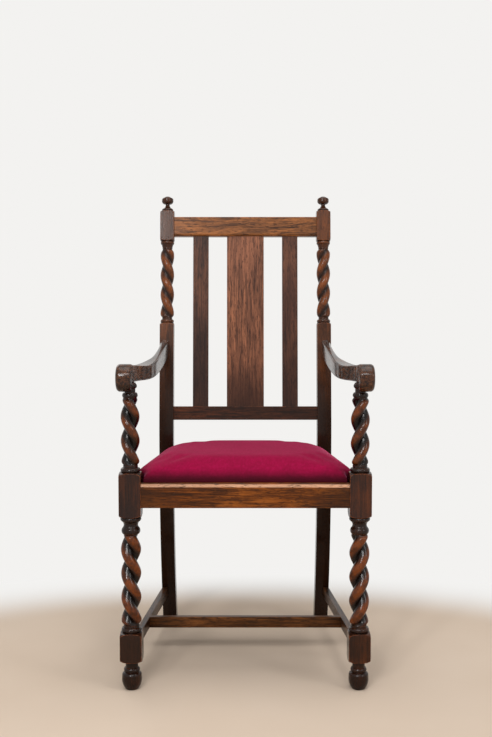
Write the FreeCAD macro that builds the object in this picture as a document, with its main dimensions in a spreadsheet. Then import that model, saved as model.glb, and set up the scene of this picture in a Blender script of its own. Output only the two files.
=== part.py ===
# Oak carver chair with barley-twist posts and a drop-in upholstered seat, in millimetres.
# X runs across the chair, Y from the front to the back and Z up. Pieces are drawn in a bench frame
# whose Y is zero at the front faces of the front posts, then shifted so that the origin lies on the
# floor under the middle of the whole chair.
import FreeCAD, Part
import math
import operator
import os

import Sketcher
from FreeCAD import Rotation, Vector

SIZES = {
    # Where the posts stand
    "front_post_x": 242, "back_post_x": 196, "seat_depth": 403,
    # Square sections of the posts
    "front_post": 46, "back_post_width": 34.5, "back_post_depth": 34,
    # Front foot, from the floor up
    "sole_radius": 14, "belly_radius": 20.8, "belly_height": 28, "instep_radius": 15.2,
    "instep_height": 37, "instep_ring_height": 9, "instep_neck_radius": 13.4,
    # Lower block and the ring and neck on it
    "low_block_z": 60.5, "low_block_height": 63, "ankle_ring_radius": 21.6, "ankle_ring_height": 10,
    "ankle_neck_radius": 16.5, "ankle_neck_height": 5,
    # Seat block and the turnings on both sides of it
    "seat_block_drop": 22, "seat_block_height": 95, "knee_ring_radius": 22.2, "knee_ring_height": 9,
    "knee_cove_radius": 15, "knee_cove_height": 14, "knee_bead_radius": 20, "knee_bead_height": 13,
    "hip_ring_radius": 21, "hip_ring_height": 9, "hip_neck_radius": 15.6, "hip_neck_height": 6,
    # Beads and tenon under the arm
    "wrist_bead_radius": 16.4, "wrist_bead_height": 11, "wrist_neck_radius": 11.4,
    "wrist_neck_height": 9, "palm_bead_radius": 14.8, "palm_bead_height": 10,
    "palm_collar_height": 2, "arm_tenon_radius": 9, "arm_tenon_length": 22,
    # Barley twists: crest radius, least half width, lead
    "leg_crest": 21.3, "leg_strand": 13.1, "leg_lead": 102.5,
    "support_crest": 19.8, "support_strand": 11.8, "support_lead": 101,
    "back_crest": 17, "back_strand": 11.8, "back_lead": 98,
    # Heights of one crest of each twist on its outer side
    "leg_crest_left_z": 251.8, "leg_crest_right_z": 243,
    "support_crest_left_z": 534.5, "support_crest_right_z": 528,
    "back_crest_left_z": 893, "back_crest_right_z": 898,
    "twist_run_out": 12, "turned_core": 8, "bury": 2.5,
    # Back posts: sweep of the leg, straight part and rake of the back
    "leg_kick": 95, "sweep_start_z": 440, "bend_z": 480, "bend_radius": 490, "rake": 6.9,
    # Heights along the raked back, from the upper end of the bend
    "square_top": 235, "shoulder_block": 22, "neck_ring_radius": 16.8, "neck_ring_height": 9,
    "neck_radius": 12.6, "neck_height": 4, "collar_cone_radius": 14.6, "collar_cone_height": 7,
    "collar_ring_radius": 17, "collar_ring_height": 9, "top_block_base": 442, "top_block_height": 76,
    "cup_radius": 14.2, "cup_height": 6.2, "finial_neck_radius": 5, "finial_neck_height": 12,
    "ball_radius": 14.2, "ball_height": 19.6,
    # Top rail and lower back rail
    "top_rail_base": 453.5, "top_rail_height": 48, "top_rail_round": 6,
    "low_rail_base": -7, "low_rail_height": 33.5, "back_rail_thickness": 20, "back_rail_setback": 5,
    # Slats
    "splat_width": 92, "slat_width": 38.5, "slat_centre": 111.5, "slat_thickness": 9,
    "slat_tenon": 8,
    # Seat rails
    "seat_rail_base": 393, "seat_rail_height": 52, "seat_rail_round": 10, "seat_rail_thickness": 26,
    "rail_setback": 2, "lip": 13, "rebate": 14, "side_rail_thickness": 24, "side_rail_inset": 12,
    "side_rail_back_inset": 5, "tenon_thickness": 10, "tenon_length": 20, "tenon_shoulder": 8,
    "back_tenon_length": 12, "block_shoulder": 9, "block_end_inset": 0.8,
    # Stretchers
    "stretcher_thickness": 13, "stretcher_height": 25, "stretcher_base": 70,
    "stretcher_front_inset": 17.5, "stretcher_back_inset": 20.5, "housing": 15,
    "cross_stretcher_y": 212, "cross_tenon": 8, "cross_tenon_length": 7,
    # Arms
    "arm_underside": 655, "arm_edge_round": 4.5, "arm_outer_round": 8, "scroll_radius": 29,
    "scroll_back_y": 7,
    # Corner blocks
    "corner_block_lift": 7, "corner_block_height": 25, "front_block_leg": 58,
    "back_block_leg": 55,
    # Screws, plugs and dowels
    "screw_shank": 2.2, "screw_head": 4.2, "screw_head_length": 3, "block_screw_length": 30,
    "screw_pocket": 5.5, "screw_bite": 14, "arm_screw_length": 52, "arm_plug_radius": 5,
    "arm_plug_length": 8, "arm_screw_height": 168, "dowel_radius": 4, "dowel_length": 30,
    "dowel_spacing": 22,
    # Loose seat
    "seat_clearance": 1.4, "cover_thickness": 2, "seat_frame_height": 20, "seat_frame_width": 45,
    "webbing_width": 50, "webbing_thickness": 1.5, "webbing_margin": 19, "hessian_thickness": 0.8,
    "hessian_margin": 13, "cushion_rise": 49, "cushion_reach": 122, "cushion_corner": 4,
    "cushion_fullness": 1.78, "cushion_fade": 70, "skirt_depth": 16, "post_notch_gap": 2,
    "bottom_cloth_thickness": 0.5, "bottom_cloth_margin": 3, "tack_head": 3, "tack_shank": 0.8,
    "tack_length": 8, "tack_head_height": 0.8, "tack_inset": 6,
    "tack_spacing": 60, "webbing_spacing": 66, "cross_webbing_spacing": 100,
    # Clearances of the fits
    "glue_gap": 1, "turned_gap": 0.15, "soft_gap": 0.3,
}

# Stations along the arm: share of the way from the scroll to the back post, how far the middle lies
# outside the straight line between the posts, width, rise of the top over the scroll, and depth
ARM_STATIONS = [
    (0, 10, 32, 0, 40), (0.078, 11.4, 34.5, -4, 36), (0.154, 6.6, 39, -7, 33),
    (0.232, -1.5, 42.5, -9, 31), (0.326, -7.6, 36.2, -6.5, 32.5), (0.428, -10.3, 28, -2, 34.5),
    (0.527, -11, 20.5, 3.5, 37), (0.693, -7.1, 18, 13, 39), (0.858, -1.8, 18.5, 24, 38),
    (1, 4.5, 21, 33, 37),
]
ARM_MEASURES = ("share", "bow", "width", "rise", "depth")
for station, measures in enumerate(ARM_STATIONS):
    for measure, number in zip(ARM_MEASURES, measures):
        SIZES[f"arm{station}_{measure}"] = number

doc = FreeCAD.newDocument("TwistCarver")
sheet = doc.addObject("Spreadsheet::Sheet", "Sizes")
for row, (alias, number) in enumerate(SIZES.items(), start=1):
    sheet.set(f"A{row}", alias)
    sheet.set(f"B{row}", str(number))
    sheet.setAlias(f"B{row}", alias)
doc.recompute()


class Size:
    """A number together with the sheet formula that gives it."""

    def __init__(self, value, text):
        self.value = value
        self.text = text

    def __add__(self, other):
        return join(operator.add, "+", self, other)

    def __radd__(self, other):
        return join(operator.add, "+", other, self)

    def __sub__(self, other):
        return join(operator.sub, "-", self, other)

    def __rsub__(self, other):
        return join(operator.sub, "-", other, self)

    def __mul__(self, other):
        return join(operator.mul, "*", self, other)

    def __rmul__(self, other):
        return join(operator.mul, "*", other, self)

    def __truediv__(self, other):
        return join(operator.truediv, "/", self, other)

    def __neg__(self):
        return 0 - self


def as_size(number):
    """A plain number as a Size, and a Size as it is."""
    return number if isinstance(number, Size) else Size(float(number), f"({number})")


def join(operation, sign, first, second):
    """The Size of a two-sided formula."""
    first, second = as_size(first), as_size(second)
    return Size(operation(first.value, second.value), f"({first.text} {sign} {second.text})")


def root(number):
    """Square root."""
    return Size(math.sqrt(number.value), f"sqrt({number.text})")


def cell(alias):
    """The Size of one cell of the sheet."""
    return Size(float(sheet.get(alias)), f"Sizes.{alias}")


class Cells:
    """The driving dimensions, read as attributes."""

    def __getattr__(self, alias):
        return cell(alias)


s = Cells()
COS_RAKE = Size(math.cos(math.radians(s.rake.value)), "cos(Sizes.rake)")
SIN_RAKE = Size(math.sin(math.radians(s.rake.value)), "sin(Sizes.rake)")
LEFT, RIGHT = -1, 1
TOUCHING = 1e-6
SIDE_NAMES = {LEFT: "left", RIGHT: "right"}


def bind(target, **links):
    """Bind properties to formulas. A double underscore in a name stands for a dot."""
    for name, link in links.items():
        target.setExpression(name.replace("__", "."), as_size(link).text)
    return target


def box(name, length, width, height, at):
    """Part::Box with bound sizes and corner."""
    target = doc.addObject("Part::Box", name)
    bind(target, Length=length, Width=width, Height=height)
    return place(target, at)


def place(target, at):
    """Bind the base of a Placement to a point of the bench frame."""
    x, y, z = at
    return bind(target, Placement__Base__x=x, Placement__Base__y=y - ORIGIN_Y, Placement__Base__z=z)


def raked_point(x, depth, along):
    """A point of the raked frame: depth behind the front face, and along the back, in the bench frame."""
    y = RAKE_FOOT_Y + depth * COS_RAKE + along * SIN_RAKE
    z = RAKE_FOOT_Z - depth * SIN_RAKE + along * COS_RAKE
    return x, y, z


def raked(target, at):
    """Lean an object back by the rake, with its own origin at a point of the raked frame."""
    target.Placement.Rotation = Rotation(Vector(-1, 0, 0), s.rake.value)
    bind(target, Placement__Rotation__Angle=s.rake)
    return place(target, raked_point(*at))


def raked_box(name, length, depth, height, at):
    """Part::Box that leans with the back."""
    return raked(box(name, length, depth, height, at), at)


def boolean(kind, name, base, tool):
    """Part::Cut or Part::Common of two objects."""
    target = doc.addObject(f"Part::{kind}", name)
    target.Base, target.Tool = base, tool
    return target


def fuse(name, pieces):
    """Part::MultiFuse of several objects, or the one object itself."""
    if len(pieces) == 1:
        return pieces[0]
    target = doc.addObject("Part::MultiFuse", name)
    target.Shapes = pieces
    return target


def cut(name, base, tools):
    """Base without all the tools."""
    return boolean("Cut", name, base, fuse(f"{name}_tools", tools))


def mirrored(name, source):
    """The same piece on the other side of the chair."""
    target = doc.addObject("Part::Mirroring", name)
    target.Source = source
    target.Normal = Vector(1, 0, 0)
    return target


def fixed(name, shape, at=(0, 0, 0)):
    """Part::Feature that holds a shape made from the sheet's numbers."""
    target = doc.addObject("Part::Feature", name)
    target.Shape = shape
    return place(target, at)


class Bend:
    """Marks the run to the next corner of an outline as an arc; outward is to the right of travel."""

    def __init__(self, radius, outward=True):
        self.radius = as_size(radius)
        self.outward = outward


def bulging(height, bulge, outward=True):
    """The arc that rises by bulge over a run of the given length."""
    height, bulge = as_size(height), as_size(bulge)
    return Bend((height * height / 4 + bulge * bulge) / (2 * bulge), outward)


def run_geometry(start, end, bend):
    """The line or arc of one run of an outline. Arcs always run anticlockwise."""
    a, b = (Vector(u.value, v.value, 0) for u, v in (start, end))
    if bend is None:
        return Part.LineSegment(a, b)
    chord = b - a
    rise = bend.radius.value - math.sqrt(max(bend.radius.value ** 2 - chord.Length ** 2 / 4, 0))
    right = Vector(chord.y, -chord.x, 0).normalize()
    middle = (a + b) * 0.5
    if bend.outward:
        return Part.Arc(a, middle + right * rise, b)
    return Part.Arc(b, middle - right * rise, a)


def sketch(body, plane, outline, offset=0):
    """A closed sketch whose corners and arc radii are bound to formulas."""
    target = body.newObject("Sketcher::SketchObject", f"{body.Name}_sketch")
    role = next(f for f in body.Origin.OriginFeatures if f.Role == f"{plane}_Plane")
    target.AttachmentSupport = (role, [""])
    target.MapMode = "FlatFace"
    bind(target, AttachmentOffset__Base__z=offset)
    corners, bends = [], []
    for item in outline:
        if isinstance(item, Bend):
            bends[-1] = item
        else:
            corners.append(tuple(as_size(n) for n in item))
            bends.append(None)
    ends = []
    for index, start in enumerate(corners):
        target.addGeometry(run_geometry(start, corners[(index + 1) % len(corners)], bends[index]))
        from_start = target.Geometry[index].StartPoint - Vector(start[0].value, start[1].value, 0)
        ends.append((index, 1 if from_start.Length < TOUCHING else 2))
    for index, start_end in ends:
        following, following_end = ends[(index + 1) % len(ends)]
        target.addConstraint(Sketcher.Constraint("Coincident", index, 3 - start_end, following, following_end))
    for index, start_end in ends:
        for kind, number in zip(("DistanceX", "DistanceY"), corners[index]):
            constraint = Sketcher.Constraint(kind, -1, 1, index, start_end, number.value)
            limit(target, constraint, f"{kind[-1].lower()}{index}", number)
        if bends[index] is not None:
            radius = bends[index].radius
            limit(target, Sketcher.Constraint("Radius", index, radius.value), f"radius{index}", radius)
    return target


def limit(target, constraint, name, number):
    """Add a constraint whose value follows a formula."""
    position = target.addConstraint(constraint)
    target.renameConstraint(position, name)
    target.setExpression(f".Constraints.{name}", number.text)


def board(name, plane, outline, thickness, offset=0, at=(0, 0, 0)):
    """PartDesign body: an outline padded by a thickness from an offset of its plane."""
    body = doc.addObject("PartDesign::Body", name)
    pad = body.newObject("PartDesign::Pad", f"{name}_pad")
    pad.Profile = sketch(body, plane, outline, offset)
    bind(pad, Length=thickness)
    body.Tip = pad
    return place(body, at)


def turning(name, outline, at):
    """PartDesign body: a half outline turned about the vertical axis."""
    body = doc.addObject("PartDesign::Body", name)
    profile = sketch(body, "XZ", outline)
    turn = body.newObject("PartDesign::Revolution", f"{name}_turn")
    turn.Profile = profile
    turn.ReferenceAxis = (profile, ["V_Axis"])
    turn.Angle = 360
    body.Tip = turn
    return place(body, at)


# Where the raked part of the back begins: the upper end of the bend, on the front face
RAKE_FOOT_Y = s.seat_depth + s.bend_radius * (1 - COS_RAKE)
RAKE_FOOT_Z = s.bend_z + s.bend_radius * SIN_RAKE

# The sweep of the leg is an arc that leaves the upright at its start and reaches the kick at the floor
SWEEP_RADIUS = (s.sweep_start_z * s.sweep_start_z + s.leg_kick * s.leg_kick) / (2 * s.leg_kick)
REAR_SWEEP_RADIUS = SWEEP_RADIUS - s.back_post_depth
HEEL_Y = s.seat_depth + SWEEP_RADIUS - root(
    REAR_SWEEP_RADIUS * REAR_SWEEP_RADIUS - s.sweep_start_z * s.sweep_start_z)

# The scroll of the arm is the foremost point of the chair and the heel of the back leg the rearmost
NOSE_Y = s.scroll_back_y - s.scroll_radius
ORIGIN_Y = (NOSE_Y + HEEL_Y) / 2

# Lines that the seat rails and stretchers share
POST_INNER_X = s.front_post_x - s.front_post / 2
POST_OUTER_X = s.front_post_x + s.front_post / 2
BACK_INNER_X = s.back_post_x - s.back_post_width / 2
BACK_OUTER_X = s.back_post_x + s.back_post_width / 2
RAIL_TOP = s.seat_rail_base + s.seat_rail_height
LEDGE_Z = RAIL_TOP - s.rebate
SEAT_BLOCK_Z = s.seat_rail_base - s.seat_block_drop
CORNER_BLOCK_Z = s.seat_rail_base + s.corner_block_lift
RAIL_OUTER_FRONT_X = POST_OUTER_X - s.side_rail_inset
RAIL_OUTER_BACK_X = BACK_OUTER_X - s.side_rail_back_inset
RAIL_SLOPE = (RAIL_OUTER_FRONT_X - RAIL_OUTER_BACK_X) / (s.seat_depth - s.front_post)
FRONT_LEDGE_Y = s.rail_setback + s.lip
FRONT_RAIL_BACK_Y = s.rail_setback + s.seat_rail_thickness
BACK_LIP_Y = s.seat_depth - 1
BACK_RAIL_FRONT_Y = BACK_LIP_Y - (s.seat_rail_thickness - s.lip)


def rail_x(y, inward=0):
    """X of the side rail's outer face at a depth, moved inward."""
    return RAIL_OUTER_FRONT_X - inward - RAIL_SLOPE * (y - s.front_post)


def front_turnings(name, axis):
    """The turned profile of a front post, thin where a twist goes, and the spans of its twists."""
    z_low, z_seat = s.low_block_z, SEAT_BLOCK_Z
    low_top, seat_top = z_low + s.low_block_height, z_seat + s.seat_block_height
    instep_neck = s.instep_height + s.instep_ring_height
    ankle_neck = low_top + s.ankle_ring_height
    knee_bead = z_seat - s.knee_ring_height - s.knee_cove_height - s.knee_bead_height
    knee_cove = knee_bead + s.knee_bead_height
    knee_ring = knee_cove + s.knee_cove_height
    hip_neck = seat_top + s.hip_ring_height
    wrist = s.arm_underside - s.palm_collar_height - s.palm_bead_height - s.wrist_neck_height \
        - s.wrist_bead_height
    wrist_neck = wrist + s.wrist_bead_height
    palm = wrist_neck + s.wrist_neck_height
    shoulder = s.arm_underside - s.soft_gap
    bead = 2.5
    outline = [
        (0, 0), (s.sole_radius, 0), bulging(s.belly_height, 3),
        (s.belly_radius, s.belly_height), bulging(s.instep_height - s.belly_height, 1.5),
        (s.instep_radius, s.instep_height), bulging(s.instep_ring_height, 2),
        (s.instep_radius, instep_neck), (s.instep_neck_radius, instep_neck), (s.instep_neck_radius, low_top),
        (s.ankle_ring_radius - bead, low_top), bulging(s.ankle_ring_height, bead),
        (s.ankle_ring_radius - bead, ankle_neck), (s.ankle_neck_radius, ankle_neck),
        (s.ankle_neck_radius, ankle_neck + s.ankle_neck_height),
        (s.turned_core, ankle_neck + s.ankle_neck_height), (s.turned_core, knee_bead),
        (s.knee_bead_radius - bead, knee_bead), bulging(s.knee_bead_height, bead),
        (s.knee_bead_radius - bead, knee_cove), bulging(s.knee_cove_height, 3.2, False),
        (s.knee_ring_radius - bead, knee_ring), bulging(s.knee_ring_height, bead),
        (s.knee_ring_radius - bead, z_seat), (s.instep_radius, z_seat), (s.instep_radius, seat_top),
        (s.hip_ring_radius - bead, seat_top), bulging(s.hip_ring_height, bead),
        (s.hip_ring_radius - bead, hip_neck), (s.hip_neck_radius, hip_neck),
        (s.hip_neck_radius, hip_neck + s.hip_neck_height),
        (s.turned_core, hip_neck + s.hip_neck_height), (s.turned_core, wrist),
        (s.wrist_bead_radius - bead, wrist), bulging(s.wrist_bead_height, bead),
        (s.wrist_bead_radius - bead, wrist_neck), (s.wrist_neck_radius, wrist_neck),
        (s.wrist_neck_radius, palm), (s.palm_bead_radius - bead, palm), bulging(s.palm_bead_height, bead),
        (s.palm_bead_radius - bead, palm + s.palm_bead_height),
        (s.palm_bead_radius - bead, shoulder), (s.arm_tenon_radius, shoulder),
        (s.arm_tenon_radius, s.arm_underside + s.arm_tenon_length),
        (0, s.arm_underside + s.arm_tenon_length),
    ]
    legs = (ankle_neck + s.ankle_neck_height - s.bury, knee_bead + s.bury)
    supports = (hip_neck + s.hip_neck_height - s.bury, wrist + s.bury)
    return turning(name, outline, axis), legs, supports


LOBE_STEPS = 7
ROWS_PER_TURN = 20


def smooth(share):
    """Eases from 0 to 1."""
    share = min(max(share, 0), 1)
    return share * share * (3 - 2 * share)


def twist_shape(bottom, top, crest, strand, lead, crest_z, hand, end_radius):
    """Two strands wound about the Z axis, whose grooves run out at both ends."""
    rows = max(8, round((top - bottom) / lead * ROWS_PER_TURN))
    grid = []
    for row in range(rows + 1):
        z = bottom + (top - bottom) * row / rows
        depth = smooth((z - bottom) / s.twist_run_out.value) * smooth((top - z) / s.twist_run_out.value)
        turn = hand * 2 * math.pi * (z - crest_z) / lead
        line = []
        for step in range(-LOBE_STEPS, LOBE_STEPS + 1):
            angle = math.pi / 2 * step / LOBE_STEPS
            offset = crest - strand
            lobe = offset * math.cos(angle) + math.sqrt(strand ** 2 - (offset * math.sin(angle)) ** 2)
            radius = end_radius + (lobe - end_radius) * depth
            line.append(Vector(radius * math.cos(turn + angle), radius * math.sin(turn + angle), z))
        grid.append(line)
    surface = Part.BSplineSurface()
    surface.interpolate(grid)
    front = surface.toShape()
    back = front.copy()
    back.rotate(Vector(0, 0, 0), Vector(0, 0, 1), 180)
    faces = [front, back]
    for z in (bottom, top):
        rim = [edge for face in (front, back) for edge in face.Edges
               if abs(edge.BoundBox.ZMin - z) + abs(edge.BoundBox.ZMax - z) < 1e-3]
        faces.append(Part.Face(Part.Wire(rim)))
    shell = Part.Shell(faces)
    shell.sewShape()
    solid = Part.Solid(shell)
    if solid.Volume < 0:
        solid.reverse()
    return solid


def domed_block(name, width, depth, base, height, axis):
    """A square block whose ends were rounded on the lathe."""
    x, y, z = axis
    corner = root(width * width / 4 + depth * depth / 4) + 1
    end = depth / 2 - s.block_end_inset
    top, rise = base + height, s.block_shoulder
    outline = [(0, base), (end, base), bulging(root((corner - end) * (corner - end) + rise * rise), 2),
               (corner, base + rise), (corner, top - rise),
               bulging(root((corner - end) * (corner - end) + rise * rise), 2), (end, top), (0, top)]
    dome = turning(f"{name}_dome", outline, axis)
    square = box(f"{name}_square", width, depth, height, (x - width / 2, y - depth / 2, z + base))
    return square, dome


# Tenons and mortises. Each tool is drawn for the right-hand side and mirrored to the left.

def both_sides(name, source):
    """A right-hand tool and its mirror image, by side."""
    return {RIGHT: source, LEFT: mirrored(f"{name}_mirrored", source)}


TENON_Z = s.seat_rail_base + s.tenon_shoulder
TENON_HEIGHT = LEDGE_Z - s.tenon_shoulder - TENON_Z
FRONT_TENON_Y = s.rail_setback + s.tenon_shoulder
SIDE_TENON_FRONT_X = rail_x(s.front_post, s.side_rail_thickness / 2 + s.tenon_thickness / 2)
SIDE_TENON_BACK_X = rail_x(s.seat_depth, s.side_rail_thickness / 2 + s.tenon_thickness / 2)
ROOT = 5


def front_rail_tenon(name, gap=0):
    """Tenon at the right end of the front seat rail, or its mortise with a gap at the end."""
    return box(name, s.tenon_length + ROOT + gap, s.tenon_thickness, TENON_HEIGHT,
               (POST_INNER_X - ROOT, FRONT_TENON_Y, TENON_Z))


def side_rail_front_tenon(name, gap=0):
    """Tenon at the front end of the right side rail, or its mortise."""
    return box(name, s.tenon_thickness, s.tenon_length + ROOT + gap, TENON_HEIGHT,
               (SIDE_TENON_FRONT_X, s.front_post - s.tenon_length - gap, TENON_Z))


def side_rail_back_tenon(name, gap=0):
    """Tenon at the back end of the right side rail, or its mortise."""
    return box(name, s.tenon_thickness, s.tenon_length + ROOT + gap, TENON_HEIGHT,
               (SIDE_TENON_BACK_X, s.seat_depth - ROOT, TENON_Z))


def back_rail_tenon(name, gap=0):
    """Tenon at the right end of the back seat rail, or its mortise."""
    return box(name, s.back_tenon_length + ROOT + gap, s.tenon_thickness, TENON_HEIGHT,
               (BACK_INNER_X - ROOT, BACK_LIP_Y + 2, TENON_Z))


def raked_tenon(name, base, height, gap=0):
    """Tenon at the right end of a rail of the back, or its mortise."""
    depth = s.back_rail_setback + (s.back_rail_thickness - s.tenon_thickness) / 2
    return raked_box(name, s.back_tenon_length + ROOT + gap, s.tenon_thickness,
                     height - 2 * s.tenon_shoulder,
                     (BACK_INNER_X - ROOT, depth, base + s.tenon_shoulder))


def stretcher_x(y, outward=0):
    """X of the inner face of the right side stretcher at a depth, moved outward."""
    return POST_INNER_X + s.stretcher_front_inset + outward - STRETCHER_SLOPE * (y - s.front_post)


LEG_FRONT_Y = s.seat_depth + SWEEP_RADIUS - root(
    SWEEP_RADIUS * SWEEP_RADIUS
    - (s.sweep_start_z - s.stretcher_base - s.stretcher_height)
    * (s.sweep_start_z - s.stretcher_base - s.stretcher_height))
STRETCHER_SLOPE = (POST_INNER_X + s.stretcher_front_inset - BACK_INNER_X - s.stretcher_back_inset) / (
    LEG_FRONT_Y - s.front_post)
STRETCHER_START_Y = s.front_post - s.housing
STRETCHER_END_Y = LEG_FRONT_Y + s.housing


def side_stretcher(name):
    """The right side stretcher, housed whole in the front post and in the back leg."""
    outline = [(stretcher_x(y, out), y) for y, out in (
        (STRETCHER_START_Y, 0), (STRETCHER_START_Y, s.stretcher_thickness),
        (STRETCHER_END_Y, s.stretcher_thickness), (STRETCHER_END_Y, 0))]
    return board(name, "XY", outline, s.stretcher_height, s.stretcher_base)


def cross_tenon(name, gap=0):
    """Tenon at the right end of the cross stretcher, or its mortise."""
    middle = s.cross_stretcher_y + s.stretcher_thickness / 2
    return box(name, s.cross_tenon_length + ROOT + gap, s.cross_tenon,
               s.stretcher_height - s.tenon_shoulder,
               (stretcher_x(middle) - ROOT, middle - s.cross_tenon / 2,
                s.stretcher_base + s.tenon_shoulder / 2))


def centred(name, corners, thickness, base):
    """A board in plan, symmetric about the middle plane, given by the corners of its right half."""
    shift = corners[0][0]
    for x, _ in corners[1:]:
        shift = x if x.value > shift.value else shift
    outline = [(shift + x, y) for x, y in corners] + [(shift - x, y) for x, y in reversed(corners)]
    return board(name, "XY", outline, thickness, base, at=(-shift, 0, 0))


GLUE = s.glue_gap
front_mortise = both_sides("front_mortise", front_rail_tenon("front_mortise", GLUE))
side_front_mortise = both_sides("side_front_mortise", side_rail_front_tenon("side_front_mortise", GLUE))
side_back_mortise = both_sides("side_back_mortise", side_rail_back_tenon("side_back_mortise", GLUE))
back_mortise = both_sides("back_mortise", back_rail_tenon("back_mortise", GLUE))
top_mortise = both_sides("top_mortise", raked_tenon(
    "top_mortise", s.top_rail_base, s.top_rail_height, GLUE))
low_mortise = both_sides("low_mortise", raked_tenon(
    "low_mortise", s.low_rail_base, s.low_rail_height, GLUE))
stretcher_housing = both_sides("stretcher_housing", side_stretcher("stretcher_housing"))
cross_mortise = cross_tenon("cross_mortise", GLUE)


# Screws

def screw_shape(base, direction, length, gap=0):
    """A countersunk screw, or with a gap the hole for it, from the middle of its head."""
    head, shank = s.screw_head.value + gap, s.screw_shank.value + gap
    depth, tip = s.screw_head_length.value, 2 * s.screw_shank.value
    shape = Part.makeCone(head, shank, depth, base, direction)
    shape = shape.fuse(Part.makeCylinder(shank, length - depth - tip, base + direction * depth, direction))
    end = base + direction * (length - tip)
    return shape.fuse(Part.makeCone(shank, gap + 0.2, tip + gap, end, direction)).removeSplitter()


def plain(*sizes):
    """A point of plain numbers."""
    return Vector(*(as_size(n).value for n in sizes))


SCREW_Z = CORNER_BLOCK_Z + s.corner_block_height / 2
FRONT_BLOCK_SCREW_X = POST_INNER_X - s.front_block_leg * 0.4
FRONT_BLOCK_SCREW_Y = s.front_post + s.front_block_leg * 0.55
BACK_BLOCK_SCREW_X = BACK_INNER_X - s.back_block_leg * 0.45
BACK_BLOCK_SCREW_Y = BACK_RAIL_FRONT_Y - s.back_block_leg * 0.5
BLOCK_SCREWS = [
    (plain(FRONT_BLOCK_SCREW_X, FRONT_RAIL_BACK_Y + s.screw_bite, SCREW_Z), Vector(0, -1, 0)),
    (plain(rail_x(FRONT_BLOCK_SCREW_Y, s.side_rail_thickness) - s.screw_bite, FRONT_BLOCK_SCREW_Y,
           SCREW_Z), Vector(1, 0, 0)),
    (plain(BACK_BLOCK_SCREW_X, BACK_RAIL_FRONT_Y - s.screw_bite, SCREW_Z), Vector(0, 1, 0)),
    (plain(rail_x(BACK_BLOCK_SCREW_Y, s.side_rail_thickness) - s.screw_bite, BACK_BLOCK_SCREW_Y,
           SCREW_Z), Vector(1, 0, 0)),
]


def block_screws(gap=0):
    """The four screws of the right-hand corner blocks."""
    return Part.makeCompound([screw_shape(at, way, s.block_screw_length.value, gap)
                              for at, way in BLOCK_SCREWS])


def screw_pockets():
    """The pockets that let the heads of the block screws in."""
    reach = s.front_block_leg.value
    return Part.makeCompound([Part.makeCylinder(s.screw_pocket.value, reach, at, way * -1)
                              for at, way in BLOCK_SCREWS])


def raked_number(x, depth, along):
    """A point of the raked frame as plain numbers of the bench frame."""
    return plain(*raked_point(*(as_size(n) for n in (x, depth, along))))


ARM_END_X = s.back_post_x + s.arm9_bow
ARM_PLUG_DEPTH = s.back_post_depth - s.arm_plug_length
INTO_ARM = Vector(0, -COS_RAKE.value, SIN_RAKE.value)


def arm_screw(gap=0):
    """The screw from the back of the right post into the arm."""
    return screw_shape(raked_number(ARM_END_X, ARM_PLUG_DEPTH, s.arm_screw_height), INTO_ARM,
                       s.arm_screw_length.value, gap)


def arm_plug(gap=0):
    """The plug over that screw, or the hole for it."""
    rear = raked_number(ARM_END_X, s.back_post_depth, s.arm_screw_height)
    return Part.makeCylinder(s.arm_plug_radius.value + gap, s.arm_plug_length.value, rear, INTO_ARM)


SLACK = s.turned_gap.value
block_screw_holes = both_sides("block_screw_holes", fixed("block_screw_holes", block_screws(SLACK)))
pockets = both_sides("pockets", fixed("pockets", screw_pockets()))
arm_screw_hole = both_sides("arm_screw_hole", fixed("arm_screw_hole", arm_screw(SLACK)))
arm_plug_hole = both_sides("arm_plug_hole", fixed("arm_plug_hole", arm_plug(SLACK)))


# Posts

def front_post(side):
    """A front post from its foot to the tenon in the arm."""
    name = f"front_post_{SIDE_NAMES[side]}"
    axis = (side * s.front_post_x, s.front_post / 2, 0)
    turned, legs, supports = front_turnings(f"{name}_turned", axis)
    pieces = [turned]
    for part, base, height in (("low", s.low_block_z, s.low_block_height),
                               ("seat", SEAT_BLOCK_Z, s.seat_block_height)):
        square, dome = domed_block(f"{name}_{part}", s.front_post, s.front_post, base, height, axis)
        pieces.append(boolean("Common", f"{name}_{part}_block", square, dome))
    for part, (bottom, top), crest, strand, lead, end in (
            ("leg", legs, s.leg_crest, s.leg_strand, s.leg_lead, s.ankle_neck_radius),
            ("support", supports, s.support_crest, s.support_strand, s.support_lead, s.hip_neck_radius)):
        crest_z = cell(f"{part}_crest_{SIDE_NAMES[side]}_z")
        shape = twist_shape(bottom.value, top.value, crest.value, strand.value, lead.value,
                            crest_z.value, side, end.value - 1)
        pieces.append(fixed(f"{name}_{part}_twist", shape, axis))
    return cut(name, fuse(f"{name}_whole", pieces),
               [front_mortise[side], side_front_mortise[side], stretcher_housing[side]])


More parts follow.
